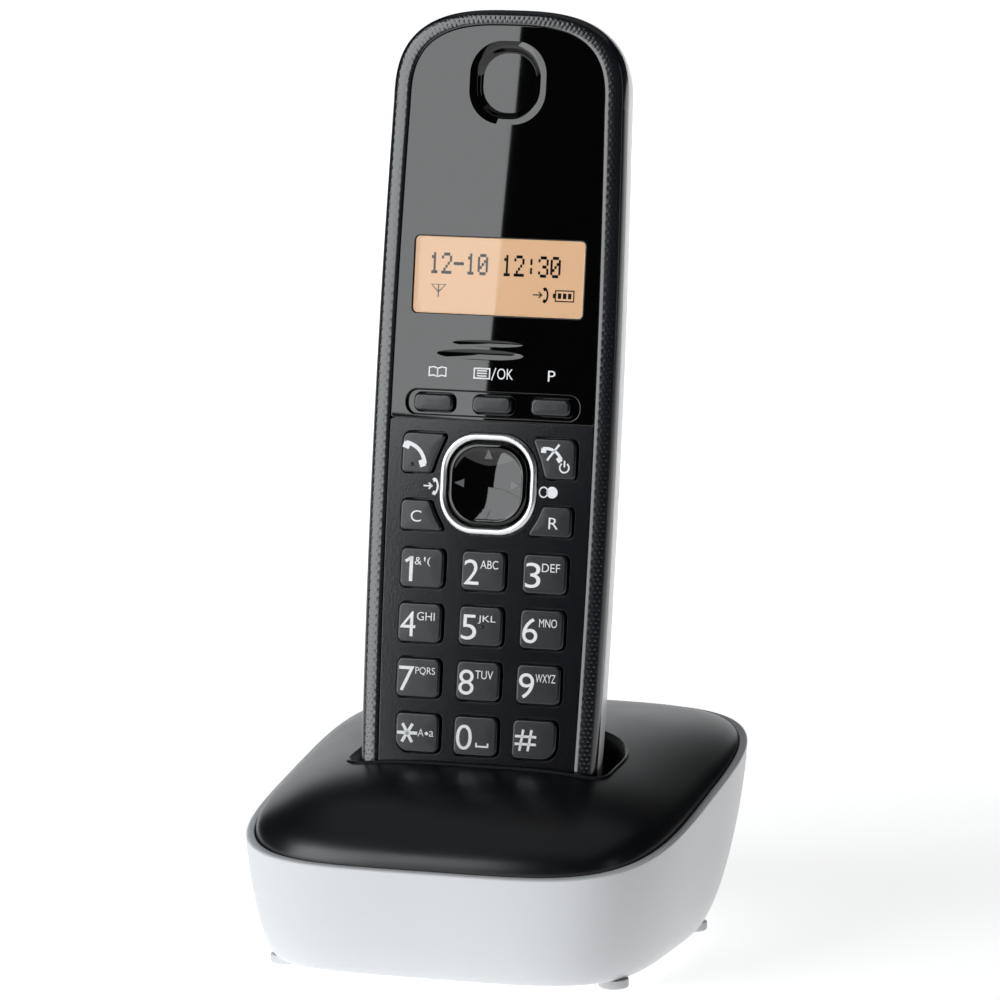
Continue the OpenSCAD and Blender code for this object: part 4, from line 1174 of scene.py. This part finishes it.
def build_display():
    glass = plate(box_loop(0, WINDOW_Z, WINDOW_W - 0.1, WINDOW_H - 0.1, 0.85, 8), (), 0.15, 1.35, 0.08)
    make("display_window_glass", [glass], "window_clear", "handset", nodes=["display_window"])
    lcd = plate(box_loop(0, WINDOW_Z, WINDOW_W + 2.4, WINDOW_H + 4.4, 0.5, 6), (), LCD_Y, LCD_BACK, 0.1)
    make("lcd_screen", [lcd], "lcd_amber", "handset", nodes=["lcd_glass"])
    front, back = LCD_Y - 0.03, LCD_Y + 0.01
    dots = [prism(box_loop(x, z, DOT_PITCH_X * 1.06, DOT_PITCH_Z * 1.02, 0.05, 2), front, back)
            for x, z in dot_places("12-10 12:30")]
    # Aerial, a telephone handset and a battery
    line = pen(front, back, 0.24)
    icons = [line([(-14.3, 104.5), (-11.35, 104.5), (-12.82, 103.0)], closed=True),
             line([(-12.82, 104.5), (-12.82, 102.0)]),
             line([(6.9, 103.2), (8.7, 103.2)]), line([(8.1, 103.8), (8.75, 103.2), (8.1, 102.6)]),
             *handset_glyph((9.5, 103.2), 1.4, 90, front, back),
             line([(11.6, 104.2), (15.4, 104.2), (15.4, 102.1), (11.6, 102.1)], closed=True),
             prism(box_loop(11.3, 103.15, 0.45, 0.9, 0.1, 3), front, back)]
    icons += [prism(box_loop(12.45 + 1.05 * k, 103.15, 0.7, 1.1, 0.08, 3), front, back) for k in range(3)]
    make("lcd_characters", dots + icons, "lcd_ink", "handset")


# Points round the back case; what its crown is lowered by, from what height, and over what height
BACK_POINTS = 360
CROWN_DROP, CROWN_FROM, CROWN_OVER = 0.16, 140, 18
RINGER_SLOTS, RINGER_PITCH, RINGER_W, RINGER_H = 5, 2.4, 12, 1.0
# Battery door: corner radius, edge radius, gap round it and depths between which its recess is cut
DOOR_CORNER, DOOR_EDGE, DOOR_GAP, RECESS_Y = 1.2, 0.2, 0.2, (14, 34)
RIB_COUNT, RIB_Z, RIB_PITCH, RIB_HALF, RIB_R, RIB_BOW, RIB_SIDES = 5, 62.0, 2.2, 7.5, 0.42, 1.2, 12


def back_rings(extra, steps=30):
    """Rings of the back case's surface, from the parting line to the flat back."""
    rings = []
    for a in np.linspace(0, 1, steps) ** 1.15 * PI / 2:
        rounding = 1 - math.cos(a)
        inset, low_inset = (BACK_ROUND * rounding ** e + extra for e in (BACK_EXP, BACK_LOW_EXP))
        loop = outline(inset, BACK_POINTS, low_inset)
        rings.append(at_depth(loop, BEZEL_D + (HS_DEPTH - extra - BEZEL_D) * math.sin(a)))
    return rings


def back_depth(x, z, extra):
    """Depth of the back case's surface, above its bottom rounding, drawn in by extra."""
    s = (z - LOW_R) / (HS_LEN - TOP_R - LOW_R)
    half = mix(HALF_LOW, HALF_TOP, s) + 4 * s * (1 - s) * (HALF_MID - (HALF_LOW + HALF_TOP) / 2)
    rounding = np.clip((half - extra - np.abs(x)) / BACK_ROUND, 0, 1) ** (1 / BACK_EXP)
    return BEZEL_D + (HS_DEPTH - extra - BEZEL_D) * np.sqrt(1 - (1 - rounding) ** 2)


def build_back_case():
    seam_y = BEZEL_D + 0.02
    seam = ((0.28, seam_y), (0.05, BEZEL_D + 0.22))
    outside = [at_depth(outline(inset, BACK_POINTS), y) for inset, y in seam] + back_rings(0)[1:]
    # The crown is a little lower than the curve gives
    for ring in outside[2:]:
        ring[:, 2] -= CROWN_DROP * np.clip((ring[:, 2] - CROWN_FROM) / CROWN_OVER, 0, 1)
    inner_edge = at_depth(outline(CASE_WALL, BACK_POINTS), seam_y)
    shell = tube([inner_edge] + outside, first_cap=False)
    hollow = tube([inner_edge] + back_rings(CASE_WALL)[1:], first_cap=False)
    case = solid("case_blank", [shell, hollow])

    # Thicker wall under the door, tray for the cells, recess for the door
    pad = solid("pad", [tube(back_rings(0.2, 18))])
    pad_area = brick(-21, 21, *RECESS_Y, SLIDE_LOW - 2, COVER_HIGH + 4)
    carve(pad, ("DIFFERENCE", solid("pad_hollow", [tube(back_rings(PAD_WALL, 18))])),
          ("INTERSECT", solid("pad_area", [pad_area])))
    half, tray_back = TRAY_W / 2, 40
    tray = solid("tray", [tube(back_rings(0.2, 18))])
    tray_area = brick(-half - TRAY_WALL, half + TRAY_WALL, TRAY_Y - TRAY_WALL, tray_back,
                      TRAY_LOW - TRAY_WALL, TRAY_HIGH + TRAY_WALL)
    carve(tray, ("INTERSECT", solid("tray_area", [tray_area])))
    recess = solid("recess", [brick(-COVER_HALF - DOOR_GAP, COVER_HALF + DOOR_GAP, *RECESS_Y,
                                    SLIDE_LOW, COVER_HIGH + DOOR_GAP)])
    carve(recess, ("DIFFERENCE", solid("recess_floor", [tube(back_rings(COVER_T + 0.15, 26))])))

    cells = [brick(-half, half, TRAY_Y, tray_back, TRAY_LOW, TRAY_HIGH)]
    slot_zs = RINGER_Z + RINGER_PITCH * (np.arange(RINGER_SLOTS) - RINGER_SLOTS // 2)
    slots = [prism(box_loop(0, z, RINGER_W, RINGER_H, 0.48, 8), HS_DEPTH - 5, HS_DEPTH + 5) for z in slot_zs]
    terminals = [brick(x - 3.05, x + 3.05, CONTACT_Y - 4.55, CONTACT_Y + 4.55, -0.05, 2.45)
                 for x in (-CONTACT_X, CONTACT_X)]
    carve(case, ("UNION", pad), ("UNION", tray), ("DIFFERENCE", recess),
          ("DIFFERENCE", solid("cells", cells)), ("DIFFERENCE", solid("slots", slots)),
          ("DIFFERENCE", solid("terminals", terminals)))
    promote(case, "handset_back_shell", 35, "case_white", "handset", ["handset_back_case"])


def build_door():
    """The sliding battery door, which follows the back, and its finger ribs."""
    corner = DOOR_CORNER
    across = np.concatenate([[-1.0, -0.99], np.linspace(-0.95, 0.95, 39), [0.99, 1.0]])
    ends = corner * np.array([0.0, 0.06, 0.2, 0.4, 0.65, 1.0])
    middle = np.linspace(COVER_LOW + 5, COVER_HIGH - 5, 9)
    rings = []
    for z in [*(COVER_LOW + ends), *middle, *(COVER_HIGH - ends[::-1])]:
        near = max(0.0, corner - min(z - COVER_LOW, COVER_HIGH - z))
        x = across * (COVER_HALF - corner + math.sqrt(corner ** 2 - near ** 2))
        soft = DOOR_EDGE * np.where(np.abs(across) > 0.995, 1.0, 0.0) + DOOR_EDGE * (near / corner) ** 4
        outside = level(np.stack([x, back_depth(x, z, 0.0) - soft], -1), z)
        inside = level(np.stack([x, back_depth(x, z, COVER_T)], -1), z)
        rings.append(np.vstack([outside, inside[::-1]]))
    make("battery_door", [tube(rings)], "case_white", "battery_cover", nodes=["battery_cover"])
    ribs = [door_rib(RIB_Z + RIB_PITCH * k) for k in range(RIB_COUNT)]
    make("battery_door_ribs", ribs, "case_white", "battery_cover")


def door_rib(z):
    """A bowed rib across the door, with rounded ends."""
    a = np.linspace(0, 2 * PI, RIB_SIDES + 1)[:-1]
    rings = []
    for s in np.linspace(-1, 1, 17):
        r = RIB_R * math.sqrt(max(0.02, 1 - s ** 8))
        rings.append(np.stack([np.full(RIB_SIDES, RIB_HALF * s), HS_DEPTH - 0.05 + r * np.cos(a) * 0.9,
                               z + RIB_BOW * s * s + r * np.sin(a)], -1))
    return tube(rings)


# --- Stage, lights and camera ---------------------------------------------------------------------
# Metres from here on. The card's width and direction across the floor, and the lights' radiances
CARD_W, CARD_RADIANCE, CARD_Y = 0.75, 4.6, -0.932
CARD_ALONG, CARD_FACING = 0.32, 0.947
FLOOR_HALF, FLOOR_CELLS = 12.0, 24
SOFTBOXES = [  # name, place, aim, width, height, radiance
    ("top_softbox", (0.0, 0.1, 1.9), (0.0, 0.0, 0.0), 2.2, 2.2, 0.25),
    ("rear_card", (-0.5, 1.5, 0.42), (0.0, 0.0, 0.05), 1.5, 0.7, 1.0),
    ("key_softbox", (-1.3, -1.0, 1.25), (0.0, 0.0, 0.05), 0.7, 0.7, 1.6),
    ("right_strip", (1.2, -0.35, 0.4), (0.0, 0.0, 0.1), 0.1, 0.8, 1.6)]


def area_light(name, place, aim, width, height, radiance, colour=(0.96, 0.99, 1.0)):
    data = bpy.data.lights.new(name, "AREA")
    data.shape = "RECTANGLE"
    data.size, data.size_y = width, height
    data.energy = radiance * PI * width * height
    data.color = colour
    light = bpy.data.objects.new(name, data)
    light.location = place
    light.rotation_euler = (Vector(aim) - Vector(place)).to_track_quat("-Z", "Y").to_euler()
    light.visible_camera = False
    bpy.context.scene.collection.objects.link(light)
    return light


def build_stage():
    n = FLOOR_CELLS
    grid = np.linspace(-FLOOR_HALF, FLOOR_HALF, n + 1)
    points = [(x, y, 0.0) for y in grid for x in grid]
    faces = [[r * (n + 1) + c, r * (n + 1) + c + 1, (r + 1) * (n + 1) + c + 1, (r + 1) * (n + 1) + c]
             for r in range(n) for c in range(n)]
    mesh = bpy.data.meshes.new("floor")
    mesh.from_pydata(points, [], faces)
    mesh.materials.append(MATERIALS["floor_pale"])
    floor = bpy.data.objects.new("floor", mesh)
    bpy.context.scene.collection.objects.link(floor)

    # A tall card at the front left, its right edge upright; the lower part stops further left
    for name, edge_x, low, high in (("left_card", -0.3146, 0.245, 0.85),
                                    ("left_card_low", -0.36, 0.03, 0.245)):
        x, y, z = edge_x - CARD_W / 2 * CARD_FACING, CARD_Y + CARD_W / 2 * CARD_ALONG, (low + high) / 2
        area_light(name, (x, y, z), (x + CARD_ALONG, y + CARD_FACING, z), CARD_W, high - low, CARD_RADIANCE)
    for softbox in SOFTBOXES:
        area_light(*softbox)

    world = bpy.data.worlds.new("studio")
    world.use_nodes = True
    world.node_tree.nodes["Background"].inputs["Color"].default_value = (0.015, 0.015, 0.016, 1)
    bpy.context.scene.world = world
    bpy.context.scene.view_settings.view_transform = "Standard"


def build_camera():
    """The camera looks from the right and a little above, from far away with a long lens."""
    azimuth, elevation, distance, aim_z = math.radians(18.5), math.radians(9.0), 1.2792, 0.0895
    place = Vector((math.sin(azimuth) * math.cos(elevation), -math.cos(azimuth) * math.cos(elevation),
                    math.sin(elevation))) * distance + Vector((0, 0, aim_z))
    data = bpy.data.cameras.new("camera")
    data.lens, data.sensor_width = 231.66, 36.0
    data.clip_end = 60.0
    camera = bpy.data.objects.new("camera", data)
    camera.location = place
    camera.rotation_euler = (Vector((0, 0, aim_z)) - place).to_track_quat("-Z", "Y").to_euler()
    bpy.context.scene.collection.objects.link(camera)
    bpy.context.scene.camera = camera


build_camera()
build_base()
build_front_case()
build_back_case()
build_door()
build_panel()
build_keypad_plate()
build_keys()
build_nav()
build_display()
build_stage()
